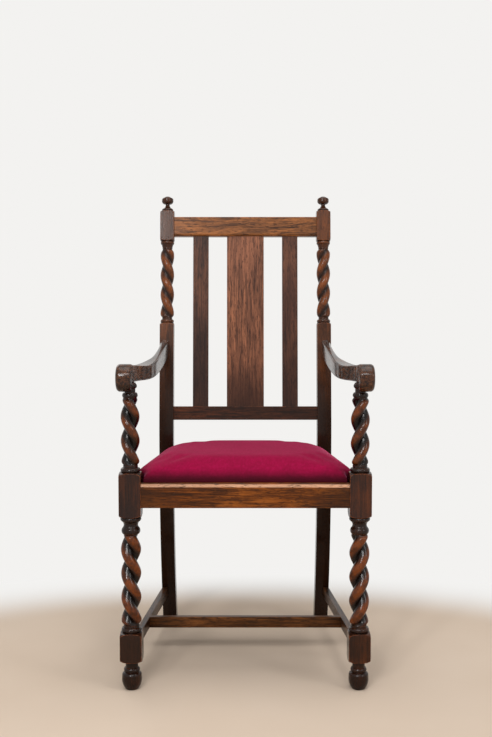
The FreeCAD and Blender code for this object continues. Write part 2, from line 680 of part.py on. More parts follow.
def back_turnings(name, axis):
    """The turned top of a back post, thin where the twist goes, and the span of that twist."""
    neck = s.square_top + s.neck_ring_height
    cone = s.top_block_base - s.collar_ring_height - s.collar_cone_height
    ring = s.top_block_base - s.collar_ring_height
    twist_bottom, twist_top = neck + s.neck_height, cone - s.neck_height
    cup = s.top_block_base + s.top_block_height
    throat = cup + s.cup_height + s.finial_neck_height
    top, crown, cap = throat + s.ball_height, s.ball_radius * 0.7, s.ball_height * 0.2
    bead = 2
    outline = [
        (0, s.square_top - s.shoulder_block), (s.neck_radius, s.square_top - s.shoulder_block),
        (s.neck_radius, s.square_top),
        (s.neck_ring_radius - bead, s.square_top), bulging(s.neck_ring_height, bead),
        (s.neck_ring_radius - bead, neck), (s.neck_radius, neck), (s.neck_radius, twist_bottom),
        (s.turned_core, twist_bottom), (s.turned_core, twist_top), (s.neck_radius, twist_top),
        (s.neck_radius, cone), (s.collar_cone_radius, ring),
        (s.collar_ring_radius - bead, ring), bulging(s.collar_ring_height, bead),
        (s.collar_ring_radius - bead, s.top_block_base), (s.neck_radius, s.top_block_base),
        (s.neck_radius, cup), (s.cup_radius - bead, cup), bulging(s.cup_height, bead),
        (s.cup_radius - bead, cup + s.cup_height), bulging(s.finial_neck_height * 1.35, 3.2, False),
        (s.finial_neck_radius, throat), bulging(s.ball_height * 0.66, 3.4),
        (s.ball_radius, throat + s.ball_height * 0.5), bulging(s.ball_height * 0.36, 1.6),
        (crown, top - cap), Bend((crown * crown + cap * cap) / (2 * cap)), (0, top),
    ]
    return turning(name, outline, axis), (twist_bottom - s.bury, twist_top + s.bury)


def back_post(side):
    """A back post from its swept foot to the finial."""
    name = f"back_post_{SIDE_NAMES[side]}"
    x = side * s.back_post_x
    front, rear = s.seat_depth, s.seat_depth + s.back_post_depth
    top = s.square_top - s.shoulder_block / 2
    edge = [raked_point(0, depth, along)[1:] for depth, along in (
        (0, 0), (0, top), (s.back_post_depth, top), (s.back_post_depth, 0))]
    outline = [
        (HEEL_Y, 0), Bend(REAR_SWEEP_RADIUS, False), (rear, s.sweep_start_z), (rear, s.bend_z),
        Bend(s.bend_radius - s.back_post_depth, False), edge[3], edge[2], edge[1], edge[0],
        Bend(s.bend_radius), (front, s.bend_z), (front, s.sweep_start_z), Bend(SWEEP_RADIUS),
        (front + s.leg_kick, 0),
    ]
    sawn = board(f"{name}_sawn", "YZ", outline, s.back_post_width, 0,
                 at=(x - s.back_post_width / 2, 0, 0))
    turned, (low, high) = back_turnings(f"{name}_turned", (x, 0, 0))
    axis = (x, s.back_post_depth / 2, 0)
    raked(turned, axis)
    pieces = [sawn, turned]
    for part, base, height in (("shoulder", s.square_top - s.shoulder_block, s.shoulder_block),
                               ("top", s.top_block_base, s.top_block_height)):
        square, dome = domed_block(f"{name}_{part}", s.back_post_width, s.back_post_depth, base, height,
                                   (x, s.back_post_depth / 2, 0))
        raked(square, (x - s.back_post_width / 2, 0, base))
        raked(dome, axis)
        pieces.append(boolean("Common", f"{name}_{part}_block", square, dome))
    crest_z = cell(f"back_crest_{SIDE_NAMES[side]}_z")
    crest = (crest_z - RAKE_FOOT_Z) / COS_RAKE
    shape = twist_shape(low.value, high.value, s.back_crest.value, s.back_strand.value,
                        s.back_lead.value, crest.value, side, s.neck_radius.value - 1)
    pieces.append(raked(fixed(f"{name}_twist", shape), axis))
    return cut(name, fuse(f"{name}_whole", pieces),
               [top_mortise[side], low_mortise[side], back_mortise[side], side_back_mortise[side],
                stretcher_housing[side], arm_screw_hole[side], arm_plug_hole[side]])


pieces = [post(side) for post in (front_post, back_post) for side in (LEFT, RIGHT)]


def pair(name, source):
    """A finished right-hand piece and its mirror image, as two finished pieces."""
    pieces.extend([source, mirrored(f"{name}_left", source)])


# Rails of the back and slats

def back_rail(name, base, height, corner=0):
    """A rail of the raked back with its tenons; corner rounds its lower front edge."""
    front, rear = s.back_rail_setback, s.back_rail_setback + s.back_rail_thickness
    top = height + corner
    outline = [(rear, corner), (rear, top), (front, top), (front, 2 * corner), Bend(corner),
               (front + corner, corner)]
    outline = [item for item in outline if corner.value or not isinstance(item, Bend)]
    body = board(f"{name}_body", "YZ", outline, 2 * BACK_INNER_X)
    raked(body, (-BACK_INNER_X, 0, base - corner))
    tenon = raked_tenon(f"{name}_tenon", base, height)
    return fuse(f"{name}_whole", [body, tenon, mirrored(f"{name}_other_tenon", tenon)])


SLAT_BASE = s.low_rail_base + s.low_rail_height
SLAT_DEPTH = s.back_rail_setback + (s.back_rail_thickness - s.slat_thickness) / 2


def slat(name, centre, width, gap=0):
    """A slat with its ends let into both rails, or with a gap the mortises for it."""
    return raked_box(name, width, s.slat_thickness, s.top_rail_base - SLAT_BASE + 2 * (s.slat_tenon + gap),
                     (centre - width / 2, SLAT_DEPTH, SLAT_BASE - s.slat_tenon - gap))


slat_mortises = fuse("slat_mortises", [
    slat("splat_mortise", 0, s.splat_width, GLUE),
    slat("slat_mortise_left", -s.slat_centre, s.slat_width, GLUE),
    slat("slat_mortise_right", s.slat_centre, s.slat_width, GLUE)])
pieces.append(boolean("Cut", "top_rail", back_rail(
    "top_rail", s.top_rail_base, s.top_rail_height, s.top_rail_round), slat_mortises))
low_rail = raked_box("lower_back_rail_body", 2 * BACK_INNER_X, s.back_rail_thickness, s.low_rail_height,
                     (-BACK_INNER_X, s.back_rail_setback, s.low_rail_base))
low_tenon = raked_tenon("lower_back_rail_tenon", s.low_rail_base, s.low_rail_height)
pieces.append(boolean("Cut", "lower_back_rail", fuse("lower_back_rail_whole", [
    low_rail, low_tenon, mirrored("lower_back_rail_other_tenon", low_tenon)]), slat_mortises))
pieces.append(slat("centre_splat", 0, s.splat_width))
pair("side_slat", slat("side_slat_right", s.slat_centre, s.slat_width))


# Seat rails

def rail_with_tenons(name, outline, half, tenon):
    """A seat rail that runs across the chair, cut for the block screws."""
    body = board(f"{name}_body", "YZ", outline, 2 * half, at=(-half, 0, 0))
    whole = fuse(f"{name}_whole", [body, tenon, mirrored(f"{name}_other_tenon", tenon)])
    return cut(name, whole, [block_screw_holes[RIGHT], block_screw_holes[LEFT]])


pieces.append(rail_with_tenons("front_seat_rail", [
    (s.rail_setback, s.seat_rail_base), (FRONT_RAIL_BACK_Y, s.seat_rail_base),
    (FRONT_RAIL_BACK_Y, LEDGE_Z), (FRONT_LEDGE_Y, LEDGE_Z), (FRONT_LEDGE_Y, RAIL_TOP),
    (s.rail_setback + s.seat_rail_round, RAIL_TOP), Bend(s.seat_rail_round),
    (s.rail_setback, RAIL_TOP - s.seat_rail_round)],
    POST_INNER_X, front_rail_tenon("front_seat_rail_tenon")))
pieces.append(rail_with_tenons("back_seat_rail", [
    (BACK_RAIL_FRONT_Y, s.seat_rail_base), (BACK_LIP_Y + s.lip, s.seat_rail_base),
    (BACK_LIP_Y + s.lip, RAIL_TOP), (BACK_LIP_Y, RAIL_TOP), (BACK_LIP_Y, LEDGE_Z),
    (BACK_RAIL_FRONT_Y, LEDGE_Z)],
    BACK_INNER_X, back_rail_tenon("back_seat_rail_tenon")))


def along_side(inward, thickness, front=s.front_post, back=s.seat_depth):
    """Plan of a strip beside the seat, between two depths, from its distance inward of the rail's face."""
    return [(rail_x(front, inward + thickness), front), (rail_x(front, inward), front),
            (rail_x(back, inward), back), (rail_x(back, inward + thickness), back)]


side_rail = fuse("side_seat_rail_whole", [
    board("side_seat_rail_body", "XY", along_side(0, s.side_rail_thickness),
          s.seat_rail_height - s.rebate, s.seat_rail_base),
    board("side_seat_rail_lip", "XY", along_side(0, s.lip), s.rebate, LEDGE_Z),
    side_rail_front_tenon("side_seat_rail_front_tenon"),
    side_rail_back_tenon("side_seat_rail_back_tenon")])
pair("side_seat_rail", boolean("Cut", "side_seat_rail_right", side_rail, block_screw_holes[RIGHT]))


# Corner blocks in the seat frame

def corner_block(name, outline):
    """A glued and screwed corner block on the right side."""
    body = board(f"{name}_body", "XY", outline, s.corner_block_height, CORNER_BLOCK_Z)
    return cut(f"{name}_right", body, [block_screw_holes[RIGHT], pockets[RIGHT]])


FRONT_BLOCK_END_Y = s.front_post + s.front_block_leg
BACK_BLOCK_END_Y = BACK_RAIL_FRONT_Y - s.back_block_leg
pair("corner_block_front", corner_block("corner_block_front", [
    (POST_INNER_X - s.front_block_leg, FRONT_RAIL_BACK_Y), (POST_INNER_X, FRONT_RAIL_BACK_Y),
    (POST_INNER_X, s.front_post), (rail_x(s.front_post, s.side_rail_thickness), s.front_post),
    (rail_x(FRONT_BLOCK_END_Y, s.side_rail_thickness), FRONT_BLOCK_END_Y)]))
pair("corner_block_back", corner_block("corner_block_back", [
    (BACK_INNER_X - s.back_block_leg, BACK_RAIL_FRONT_Y),
    (rail_x(BACK_BLOCK_END_Y, s.side_rail_thickness), BACK_BLOCK_END_Y),
    (rail_x(s.seat_depth, s.side_rail_thickness), s.seat_depth), (BACK_INNER_X, s.seat_depth),
    (BACK_INNER_X, BACK_RAIL_FRONT_Y)]))


def compound(name, members):
    """One node of several separate solids."""
    target = doc.addObject("Part::Compound", name)
    target.Links = members
    return target


def both(name, shape):
    """A group of hardware on the right side together with its mirror image."""
    right = fixed(f"{name}_right", shape)
    return compound(name, [right, mirrored(f"{name}_left", right)])


pieces.append(both("corner_block_screws", block_screws()))
pieces.append(both("arm_screws", arm_screw()))
pieces.append(both("arm_screw_plugs", arm_plug()))

# Stretchers
pair("side_stretcher", boolean("Cut", "side_stretcher_right", side_stretcher("side_stretcher_body"),
                               cross_mortise))
cross_end_y = s.cross_stretcher_y + s.stretcher_thickness
cross_tenon_right = cross_tenon("cross_stretcher_tenon")
pieces.append(fuse("cross_stretcher", [
    centred("cross_stretcher_body", [(stretcher_x(s.cross_stretcher_y), s.cross_stretcher_y),
                                     (stretcher_x(cross_end_y), cross_end_y)],
            s.stretcher_height, s.stretcher_base),
    cross_tenon_right, mirrored("cross_stretcher_other_tenon", cross_tenon_right)]))


# Arms

ARM_BACK_Y = raked_point(0, 0, s.arm_screw_height)[1]


def rounded_wire(corners, radii):
    """A closed wire through corners in a plane, each corner replaced by an arc of its own radius."""
    starts, ends, middles = [], [], []
    for index, corner in enumerate(corners):
        before = (corners[index - 1] - corner).normalize()
        after = (corners[(index + 1) % len(corners)] - corner).normalize()
        half = before.getAngle(after) / 2
        reach = radii[index] / math.tan(half)
        centre = corner + (before + after).normalize() * (radii[index] / math.sin(half))
        starts.append(corner + before * reach)
        ends.append(corner + after * reach)
        middles.append(centre + (corner - centre).normalize() * radii[index])
    edges = []
    for index in range(len(corners)):
        edges.append(Part.Arc(starts[index], middles[index], ends[index]).toShape())
        edges.append(Part.makeLine(ends[index], starts[(index + 1) % len(corners)]))
    return Part.Wire(edges)


stations = [[cell(f"arm{station}_{measure}").value for measure in ARM_MEASURES]
            for station in range(len(ARM_STATIONS))]


def slope(index, column):
    """How fast a measure of the arm changes at a station."""
    before, after = stations[max(index - 1, 0)], stations[min(index + 1, len(stations) - 1)]
    return (after[column] - before[column]) / (after[0] - before[0])


def arm_measures(share):
    """Bow, width, rise and depth of the arm between its stations, along a smooth curve."""
    index = max(i for i in range(len(stations) - 1) if stations[i][0] <= share)
    first, second = stations[index], stations[index + 1]
    span = second[0] - first[0]
    t = (share - first[0]) / span
    for column in range(1, len(ARM_MEASURES)):
        yield ((2 * t ** 3 - 3 * t ** 2 + 1) * first[column] + (3 * t ** 2 - 2 * t ** 3) * second[column]
               + (t ** 3 - 2 * t ** 2 + t) * span * slope(index, column)
               + (t ** 3 - t ** 2) * span * slope(index + 1, column))


def arm_section(share):
    """The rounded rectangle of the right arm at a share of its length; the last lies on the post."""
    bow, width, rise, depth = arm_measures(share)
    y = s.scroll_back_y.value + share * (ARM_BACK_Y.value - s.scroll_back_y.value)
    x = s.front_post_x.value + share * (s.back_post_x.value - s.front_post_x.value) + bow
    top = s.arm_underside.value + s.arm0_depth.value + rise
    near, far = y, y
    if share == 1:
        near, far = (RAKE_FOOT_Y.value + (z - RAKE_FOOT_Z.value) * SIN_RAKE.value / COS_RAKE.value
                     for z in (top - depth, top))
    corners = [Vector(x - width / 2, near, top - depth), Vector(x + width / 2, near, top - depth),
               Vector(x + width / 2, far, top), Vector(x - width / 2, far, top)]
    edge = s.arm_edge_round.value
    return rounded_wire(corners, [edge, edge, s.arm_outer_round.value, edge])


def arm_scroll():
    """The scrolled nose of the right arm, which hangs in front of the post."""
    y, radius, width = s.scroll_back_y.value, s.scroll_radius.value, s.arm0_width.value
    top, left = s.arm_underside.value + s.arm0_depth.value, (s.front_post_x + s.arm0_bow).value - width / 2
    high, low = Vector(left, y, top), Vector(left, y, top - 2 * radius)
    profile = Part.Wire([Part.Arc(high, Vector(left, y - radius, top - radius), low).toShape(),
                         Part.makeLine(low, high)])
    solid = Part.Face(profile).extrude(Vector(width, 0, 0))
    for radius, reach in ((s.arm_edge_round.value, left), (s.arm_outer_round.value, left + width)):
        rims = [edge for edge in solid.Edges if edge.Curve.TypeId == "Part::GeomCircle"
                and abs(edge.Curve.Center.x - reach) < TOUCHING]
        solid = solid.makeFillet(radius, rims)
    return solid


ARM_SECTIONS = 24
arm_length = Part.makeLoft([arm_section(n / ARM_SECTIONS) for n in range(ARM_SECTIONS + 1)], True, False)
arm_socket = doc.addObject("Part::Cylinder", "arm_socket")
bind(arm_socket, Radius=s.arm_tenon_radius + s.turned_gap,
     Height=s.palm_collar_height + s.arm_tenon_length + s.glue_gap)
place(arm_socket, (s.front_post_x, s.front_post / 2, s.arm_underside - s.palm_collar_height))
arm_whole = fuse("arm_whole", [fixed("arm_length", arm_length), fixed("arm_scroll", arm_scroll())])
pair("arm", cut("arm_right", arm_whole, [arm_socket, arm_screw_hole[RIGHT]]))


# The loose seat

def seat_plan(inset, fade=1):
    """Right half of the plan of the seat, drawn in from the rebate; fade shrinks the notch at the post."""
    front, back = FRONT_LEDGE_Y + inset, BACK_LIP_Y - inset
    across = rail_x(FRONT_LEDGE_Y, s.lip) - POST_INNER_X + s.post_notch_gap
    behind = s.front_post + s.post_notch_gap - FRONT_LEDGE_Y
    notch_x = rail_x(front, s.lip + inset) - across * fade
    notch_y = front + behind * fade
    return [(notch_x, front), (notch_x, notch_y), (rail_x(notch_y, s.lip + inset), notch_y),
            (rail_x(back, s.lip + inset), back)]


FRAME_INSET = s.seat_clearance + s.cover_thickness
FRAME_FRONT_Y, FRAME_BACK_Y = FRONT_LEDGE_Y + FRAME_INSET, BACK_LIP_Y - FRAME_INSET
FRAME_TOP = LEDGE_Z + s.seat_frame_height
INNER = s.lip + FRAME_INSET + s.seat_frame_width


def dowels(gap=0):
    """The dowels of the right side of the loose frame."""
    members = []
    for middle in (FRAME_FRONT_Y + s.seat_frame_width / 2, FRAME_BACK_Y - s.seat_frame_width / 2):
        for shift in (-s.dowel_spacing / 2, s.dowel_spacing / 2):
            at = plain(rail_x(middle, INNER) - s.dowel_length / 2, middle + shift,
                       LEDGE_Z + s.seat_frame_height / 2) - Vector(gap * 2, 0, 0)
            members.append(Part.makeCylinder(s.dowel_radius.value + gap, s.dowel_length.value + gap * 4,
                                             at, Vector(1, 0, 0)))
    return Part.makeCompound(members)


CLOTH_INSET = s.seat_rail_thickness - s.lip + s.bottom_cloth_margin
TACK_INSET = CLOTH_INSET + s.tack_inset
CLOTH_Z = LEDGE_Z - s.bottom_cloth_thickness


def tack_points():
    """Where the tacks of the bottom cloth stand, in plan."""
    step = s.tack_spacing.value
    front, back = (FRONT_LEDGE_Y + TACK_INSET).value, (BACK_LIP_Y - TACK_INSET).value
    points = [(step * n, front) for n in range(-3, 4)] + [(step * n, back) for n in range(-2, 3)]
    middle = (front + back) / 2
    for n in range(-2, 3):
        x = rail_x(middle + step * n, s.lip + TACK_INSET).value
        points.extend([(x, middle + step * n), (-x, middle + step * n)])
    return points


def tacks(gap=0):
    """The tacks, or with a gap the holes for their shanks."""
    members = []
    for x, y in tack_points():
        shape = Part.makeCylinder(s.tack_shank.value + gap, s.tack_length.value + gap,
                                  Vector(x, y, CLOTH_Z.value))
        if not gap:
            head = Part.makeCylinder(s.tack_head.value, s.tack_head_height.value,
                                     Vector(x, y, (CLOTH_Z - s.tack_head_height).value))
            shape = shape.fuse(head).removeSplitter()
        members.append(shape)
    return Part.makeCompound(members)


dowel_holes = both_sides("dowel_holes", fixed("dowel_holes", dowels(SLACK)))
tack_holes = fixed("tack_holes", tacks(SLACK))


def frame_member(name, corners):
    """A rail of the loose frame that runs across, with its holes."""
    body = centred(f"{name}_body", corners, s.seat_frame_height, LEDGE_Z)
    return cut(name, body, [dowel_holes[RIGHT], dowel_holes[LEFT], tack_holes])


for name, near, far in (("seat_frame_front", FRAME_FRONT_Y, FRAME_FRONT_Y + s.seat_frame_width),
                        ("seat_frame_back", FRAME_BACK_Y - s.seat_frame_width, FRAME_BACK_Y)):
    pieces.append(frame_member(name, [(rail_x(near, INNER), near), (rail_x(far, INNER), far)]))
side_member = board("seat_frame_side_body", "XY", [
    (rail_x(FRAME_FRONT_Y, INNER), FRAME_FRONT_Y), *seat_plan(FRAME_INSET),
    (rail_x(FRAME_BACK_Y, INNER), FRAME_BACK_Y)], s.seat_frame_height, LEDGE_Z)
pair("seat_frame", cut("seat_frame_right", side_member, [dowel_holes[RIGHT], tack_holes]))
pieces.append(both("seat_frame_dowels", dowels()))


def straps(name, count, spacing, base, extent):
    """A layer of webbing; extent gives the near corner and the two lengths of a strap."""
    members = []
    for n in range(count):
        (x, y), length, width = extent((n - (count - 1) / 2) * spacing)
        members.append(box(f"{name}_{n}", length, width, s.webbing_thickness, (x, y, base)))
    return compound(name, members)


WEB_FRONT_Y = FRAME_FRONT_Y + s.webbing_margin
WEB_BACK_Y = FRAME_BACK_Y - s.webbing_margin
WEB_MIDDLE_Y = (WEB_FRONT_Y + WEB_BACK_Y) / 2


def fore_aft(offset):
    """Strap that runs from front to back at a distance from the middle."""
    return (offset - s.webbing_width / 2, WEB_FRONT_Y), s.webbing_width, WEB_BACK_Y - WEB_FRONT_Y


def across(offset):
    """Strap that runs across at a distance from the middle of the seat's depth."""
    y = WEB_MIDDLE_Y + offset - s.webbing_width / 2
    half = rail_x(y + s.webbing_width, s.lip + FRAME_INSET + s.webbing_margin)
    return (-half, y), 2 * half, s.webbing_width


pieces.append(straps("webbing_fore_aft", 4, s.webbing_spacing, FRAME_TOP, fore_aft))
pieces.append(straps("webbing_cross", 3, s.cross_webbing_spacing, FRAME_TOP + s.webbing_thickness, across))

HESSIAN_Z = FRAME_TOP + 2 * s.webbing_thickness
pieces.append(centred("hessian_base", seat_plan(FRAME_INSET + s.hessian_margin), s.hessian_thickness,
                      HESSIAN_Z))
cloth = centred("bottom_cloth_body", seat_plan(CLOTH_INSET), s.bottom_cloth_thickness, CLOTH_Z)
pieces.append(boolean("Cut", "bottom_cloth", cloth, tack_holes))
pieces.append(fixed("bottom_cloth_tacks", tacks()))


# The cushion

CUSHION_LEVELS = (0, 0.13, 0.3, 0.48, 0.65, 0.8, 0.93, 1)


def cushion_section(inset, z):
    """One level of the cushion, drawn in by inset from the skirt."""
    fade = max(1 - inset / s.cushion_fade.value, 0.12)
    right = [plain(x, y, z) for x, y in seat_plan(s.seat_clearance + inset, fade)]
    corners = right + [Vector(-point.x, point.y, point.z) for point in reversed(right)]
    near = s.cushion_corner.value * fade
    far = s.cushion_corner.value + inset * 0.3
    return rounded_wire(corners, [near, near, near, far, far, near, near, near])


def cushion_shape():
    """The crowned cushion with its skirt round the loose frame."""
    full, reach, rise = s.cushion_fullness.value, s.cushion_reach.value, s.cushion_rise.value
    crown = []
    for share in CUSHION_LEVELS:
        inset = reach * (1 - (1 - share ** full) ** (1 / full))
        crown.append(cushion_section(inset, FRAME_TOP.value + share * rise))
    skirt = Part.Face(cushion_section(0, (FRAME_TOP - s.skirt_depth).value)).extrude(
        Vector(0, 0, s.skirt_depth.value))
    return Part.makeLoft(crown, True, False).fuse(skirt).removeSplitter()


cavity_plan = seat_plan(FRAME_INSET - s.soft_gap)
cavity = centred("cushion_cavity", cavity_plan, HESSIAN_Z + s.hessian_thickness + s.soft_gap - LEDGE_Z,
                 LEDGE_Z)
pieces.append(boolean("Cut", "seat_cushion", fixed("cushion_form", cushion_shape()), cavity))

doc.recompute()
for item in doc.Objects:
    if "Invalid" in item.State or "Error" in item.State:
        raise ValueError(f"{item.Name} did not compute: {item.State}")
os.makedirs("parts", exist_ok=True)
for piece in pieces:
    piece.Label = piece.Name
    if piece.Shape.isNull() or not piece.Shape.isValid():
        raise ValueError(f"{piece.Name} has no sound shape")
    piece.Shape.exportStep(f"parts/{piece.Label}.step")
    print(f"{piece.Label}: {len(piece.Shape.Solids)} solid(s), {piece.Shape.Volume / 1000:.1f} cm3")
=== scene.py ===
"""Dresses a dark oak carver chair: barley-twist posts, slatted back, scrolled arms, drop-in velvet seat."""
import logging
import math
from dataclasses import dataclass, field
from enum import Enum
from typing import Any, Optional, Protocol, Sequence, Union

import bmesh
import bpy
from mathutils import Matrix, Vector


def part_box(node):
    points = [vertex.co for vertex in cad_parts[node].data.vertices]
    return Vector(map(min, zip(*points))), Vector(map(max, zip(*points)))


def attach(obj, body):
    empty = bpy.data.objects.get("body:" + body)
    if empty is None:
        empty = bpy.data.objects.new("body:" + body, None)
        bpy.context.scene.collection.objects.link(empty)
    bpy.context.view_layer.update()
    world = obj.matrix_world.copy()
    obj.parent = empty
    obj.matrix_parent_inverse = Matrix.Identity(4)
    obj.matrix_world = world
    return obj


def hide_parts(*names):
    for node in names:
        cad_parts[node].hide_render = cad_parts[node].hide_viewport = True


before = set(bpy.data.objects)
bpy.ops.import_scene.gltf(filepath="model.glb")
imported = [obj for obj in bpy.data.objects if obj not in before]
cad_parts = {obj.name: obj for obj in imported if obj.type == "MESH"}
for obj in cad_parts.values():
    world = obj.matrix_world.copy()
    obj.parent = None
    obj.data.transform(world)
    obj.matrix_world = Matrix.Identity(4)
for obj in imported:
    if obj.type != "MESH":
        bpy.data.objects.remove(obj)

log = logging.getLogger("carver")
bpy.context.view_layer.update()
Colour = tuple[int, int, int]
Triple = tuple[float, float, float]
Output = Union[int, str]

# How far the middle of the chair lies behind the front faces of the front posts
MIDDLE_DEPTH = 0.25673
# Lean of the back, and the upper end of the bend below it, on the front face of the back posts
RAKE = math.radians(6.9)
RAKE_FOOT = Vector((0, 0.40655 - MIDDLE_DEPTH, 0.53887))
# Merging of the loose triangles, and the angle from which an edge stays crisp
MERGE_DISTANCE = 1e-5
CRISP_ANGLE = math.radians(32)
# Colours that all oak shares: painted shade for corners and twist grooves, the darker tone of turned parts,
# and a painted highlight for a rail's edge
CORNER_SHADE = (12, 5, 2)
GROOVE_SHADE = (7, 3, 2)
TURNED_SHADE = (14, 6, 4)
PAINTED_HIGHLIGHT_OAK = (214, 160, 124)


def linear(colour: Colour) -> tuple[float, float, float, float]:
    """Turn a display colour into the linear one that a shader takes.

    Args:
        colour: Red, green and blue from 0 to 255.

    Returns:
        Linear red, green, blue and an alpha of 1.
    """
    parts = [c / 255 for c in colour]
    red, green, blue = (c / 12.92 if c < 0.04045 else ((c + 0.055) / 1.055) ** 2.4 for c in parts)
    return red, green, blue, 1.0


def clamp(value: float) -> float:
    """Keep a number between 0 and 1."""
    return min(max(value, 0.0), 1.0)


class Tap:
    """A socket of a node tree that takes part in Python sums."""

    def __init__(self, recipe: "Recipe", socket: bpy.types.NodeSocket) -> None:
        """Keep the socket and the recipe it belongs to."""
        self.recipe = recipe
        self.socket = socket

    def _maths(self, operation: str, first: "Level", second: "Level") -> "Tap":
        """Add a Math node of two values."""
        return self.recipe.add("Math", {"operation": operation}, [first, second])

    def __add__(self, other: "Level") -> "Tap":
        """Sum."""
        return self._maths("ADD", self, other)

    def __radd__(self, other: "Level") -> "Tap":
        """Sum with a number on the left."""
        return self._maths("ADD", other, self)

    def __sub__(self, other: "Level") -> "Tap":
        """Difference."""
        return self._maths("SUBTRACT", self, other)

    def __rsub__(self, other: "Level") -> "Tap":
        """Difference from a number on the left."""
        return self._maths("SUBTRACT", other, self)

    def __mul__(self, other: "Level") -> "Tap":
        """Product."""
        return self._maths("MULTIPLY", self, other)

    def __rmul__(self, other: "Level") -> "Tap":
        """Product with a number on the left."""
        return self._maths("MULTIPLY", other, self)

    def __pow__(self, other: "Level") -> "Tap":
        """Power."""
        return self._maths("POWER", self, other)

    def ramp(self, low: float, high: float) -> "Tap":
        """Ease from 0 at low to 1 at high.

        Args:
            low: Value below which the result is 0.
            high: Value above which the result is 1.

        Returns:
            The eased value.
        """
        return self.recipe.add("MapRange", {"interpolation_type": "SMOOTHSTEP"}, [self, low, high, 0.0, 1.0])


Level = Union[Tap, float]


class Recipe:
    """The node tree of a material or of the world, built up by expressions."""

    def __init__(self, owner: Union[bpy.types.Material, bpy.types.World]) -> None:
        """Empty the owner's node tree.

        Args:
            owner: The material or world that the nodes belong to.
        """
        self.owner = owner
        owner.use_nodes = True
        self.tree = owner.node_tree
        self.tree.nodes.clear()

    @classmethod
    def of(cls, name: str) -> "Recipe":
        """The recipe of a new material."""
        return cls(bpy.data.materials.new(name))

    def add(self, kind: str, settings: Optional[dict[str, Any]] = None,
            values: Union[dict[str, Any], Sequence[Any], None] = None, output: Output = 0) -> Tap:
        """Add one node.

        Args:
            kind: Type of the node without its ShaderNode prefix.
            settings: Properties of the node.
            values: Values or links of its sockets, by name or in order.
            output: Which output to return.

        Returns:
            The chosen output.
        """
        node = self.tree.nodes.new(f"ShaderNode{kind}")
        for key, value in (settings or {}).items():
            setattr(node, key, value)
        items = values.items() if isinstance(values, dict) else enumerate(values or [])
        for key, value in items:
            self._feed(node.inputs[key], value)
        return Tap(self, node.outputs[output])

    def _feed(self, socket: bpy.types.NodeSocket, value: Any) -> None:
        """Set a socket or link it."""
        if isinstance(value, Tap):
            self.tree.links.new(value.socket, socket)
        elif value is not None:
            socket.default_value = value

    def mix(self, share: Level, first: Any, second: Any) -> Tap:
        """Mix two colours.

        Args:
            share: How much of the second.
            first: Colour or tap.
            second: Colour or tap.

        Returns:
            The mixed colour.
        """
        node = self.tree.nodes.new("ShaderNodeMix")
        node.data_type = "RGBA"
        self._feed(node.inputs[0], share)
        for index, value in ((6, first), (7, second)):
            self._feed(node.inputs[index], linear(value) if isinstance(value, tuple) else value)
        return Tap(self, node.outputs[2])

    def vector(self, operation: str, *values: Any, output: Output = 0) -> Tap:
        """Add a Vector Math node.

        Args:
            operation: What it does.
            values: Vectors or taps.
            output: Which output to return.

        Returns:
            The chosen output.
        """
        return self.add("VectorMath", {"operation": operation}, values, output)

    def axis(self, point: Tap, letter: str) -> Tap:
        """One coordinate of a vector."""
        return self.add("SeparateXYZ", {}, [point], letter)

    def place(self, turn: Triple = (0, 0, 0), move: Triple = (0, 0, 0),
              about: Optional[Triple] = None) -> Tap:
        """Object coordinates, turned about a point and moved.

        Args:
            turn: Rotation in radians.
            move: Shift after turning.
            about: Point that becomes the origin first.

        Returns:
            The coordinate vector.
        """
        point = self.add("TexCoord", output="Object")
        if about:
            point = self.vector("SUBTRACT", point, about)
        return self.add("Mapping", {"vector_type": "POINT"}, [point, move, turn, (1, 1, 1)])

    def noise(self, point: Tap, scale: float, detail: float = 3, rough: float = 0.55,
              distortion: float = 0) -> Tap:
        """Value of a noise texture.

        Args:
            point: Coordinates.
            scale: Features per metre.
            detail: Octaves.
            rough: How strong the finer octaves are.
            distortion: How much the pattern is swirled.

        Returns:
            The noise, about 0.5 on average.
        """
        return self.add("TexNoise", {}, {"Vector": point, "Scale": scale, "Detail": detail,
                                         "Roughness": rough, "Distortion": distortion})

    def bump(self, height: Level, distance: float, strength: float, normal: Optional[Tap] = None) -> Tap:
        """Normal from a height.

        Args:
            height: Height from 0 to 1.
            distance: Height of 1 in metres.
            strength: Share of the effect.
            normal: Normal that the bump starts from.

        Returns:
            The bumped normal.
        """
        values = {"Height": height, "Distance": distance, "Strength": strength, "Normal": normal}
        return self.add("Bump", {}, values)

    def finish(self, **sockets: Any) -> bpy.types.Material:
        """Add the Principled shader and the output.

        Args:
            sockets: Values or links by socket name, with underscores for spaces.

        Returns:
            The material.
        """
        values = {key.replace("_", " "): value for key, value in sockets.items()}
        return self.close(self.add("BsdfPrincipled", {}, values))

    def close(self, surface: Tap) -> Any:
        """Link a shader to the owner's output.

        Args:
            surface: The shader.

        Returns:
            The material or world.
        """
        kind = "World" if isinstance(self.owner, bpy.types.World) else "Material"
        node = self.tree.nodes.new(f"ShaderNodeOutput{kind}")
        self.tree.links.new(surface.socket, node.inputs["Surface"])
        return self.owner


class Finish(Protocol):
    """Anything that can paint itself as a material."""

    @property
    def name(self) -> str:
        """Name of the material."""

    def paint(self) -> bpy.types.Material:
        """Build the material."""


class Grain(Enum):
    """The way the grain of a piece runs, as the turn that lays it along Z."""

    UPRIGHT = (0.0, 0.0, 0.0)
    RAKED = (RAKE, 0.0, 0.0)
    ACROSS = (0.0, -math.pi / 2, 0.0)
    FORE_AFT = (math.pi / 2, 0.0, 0.0)


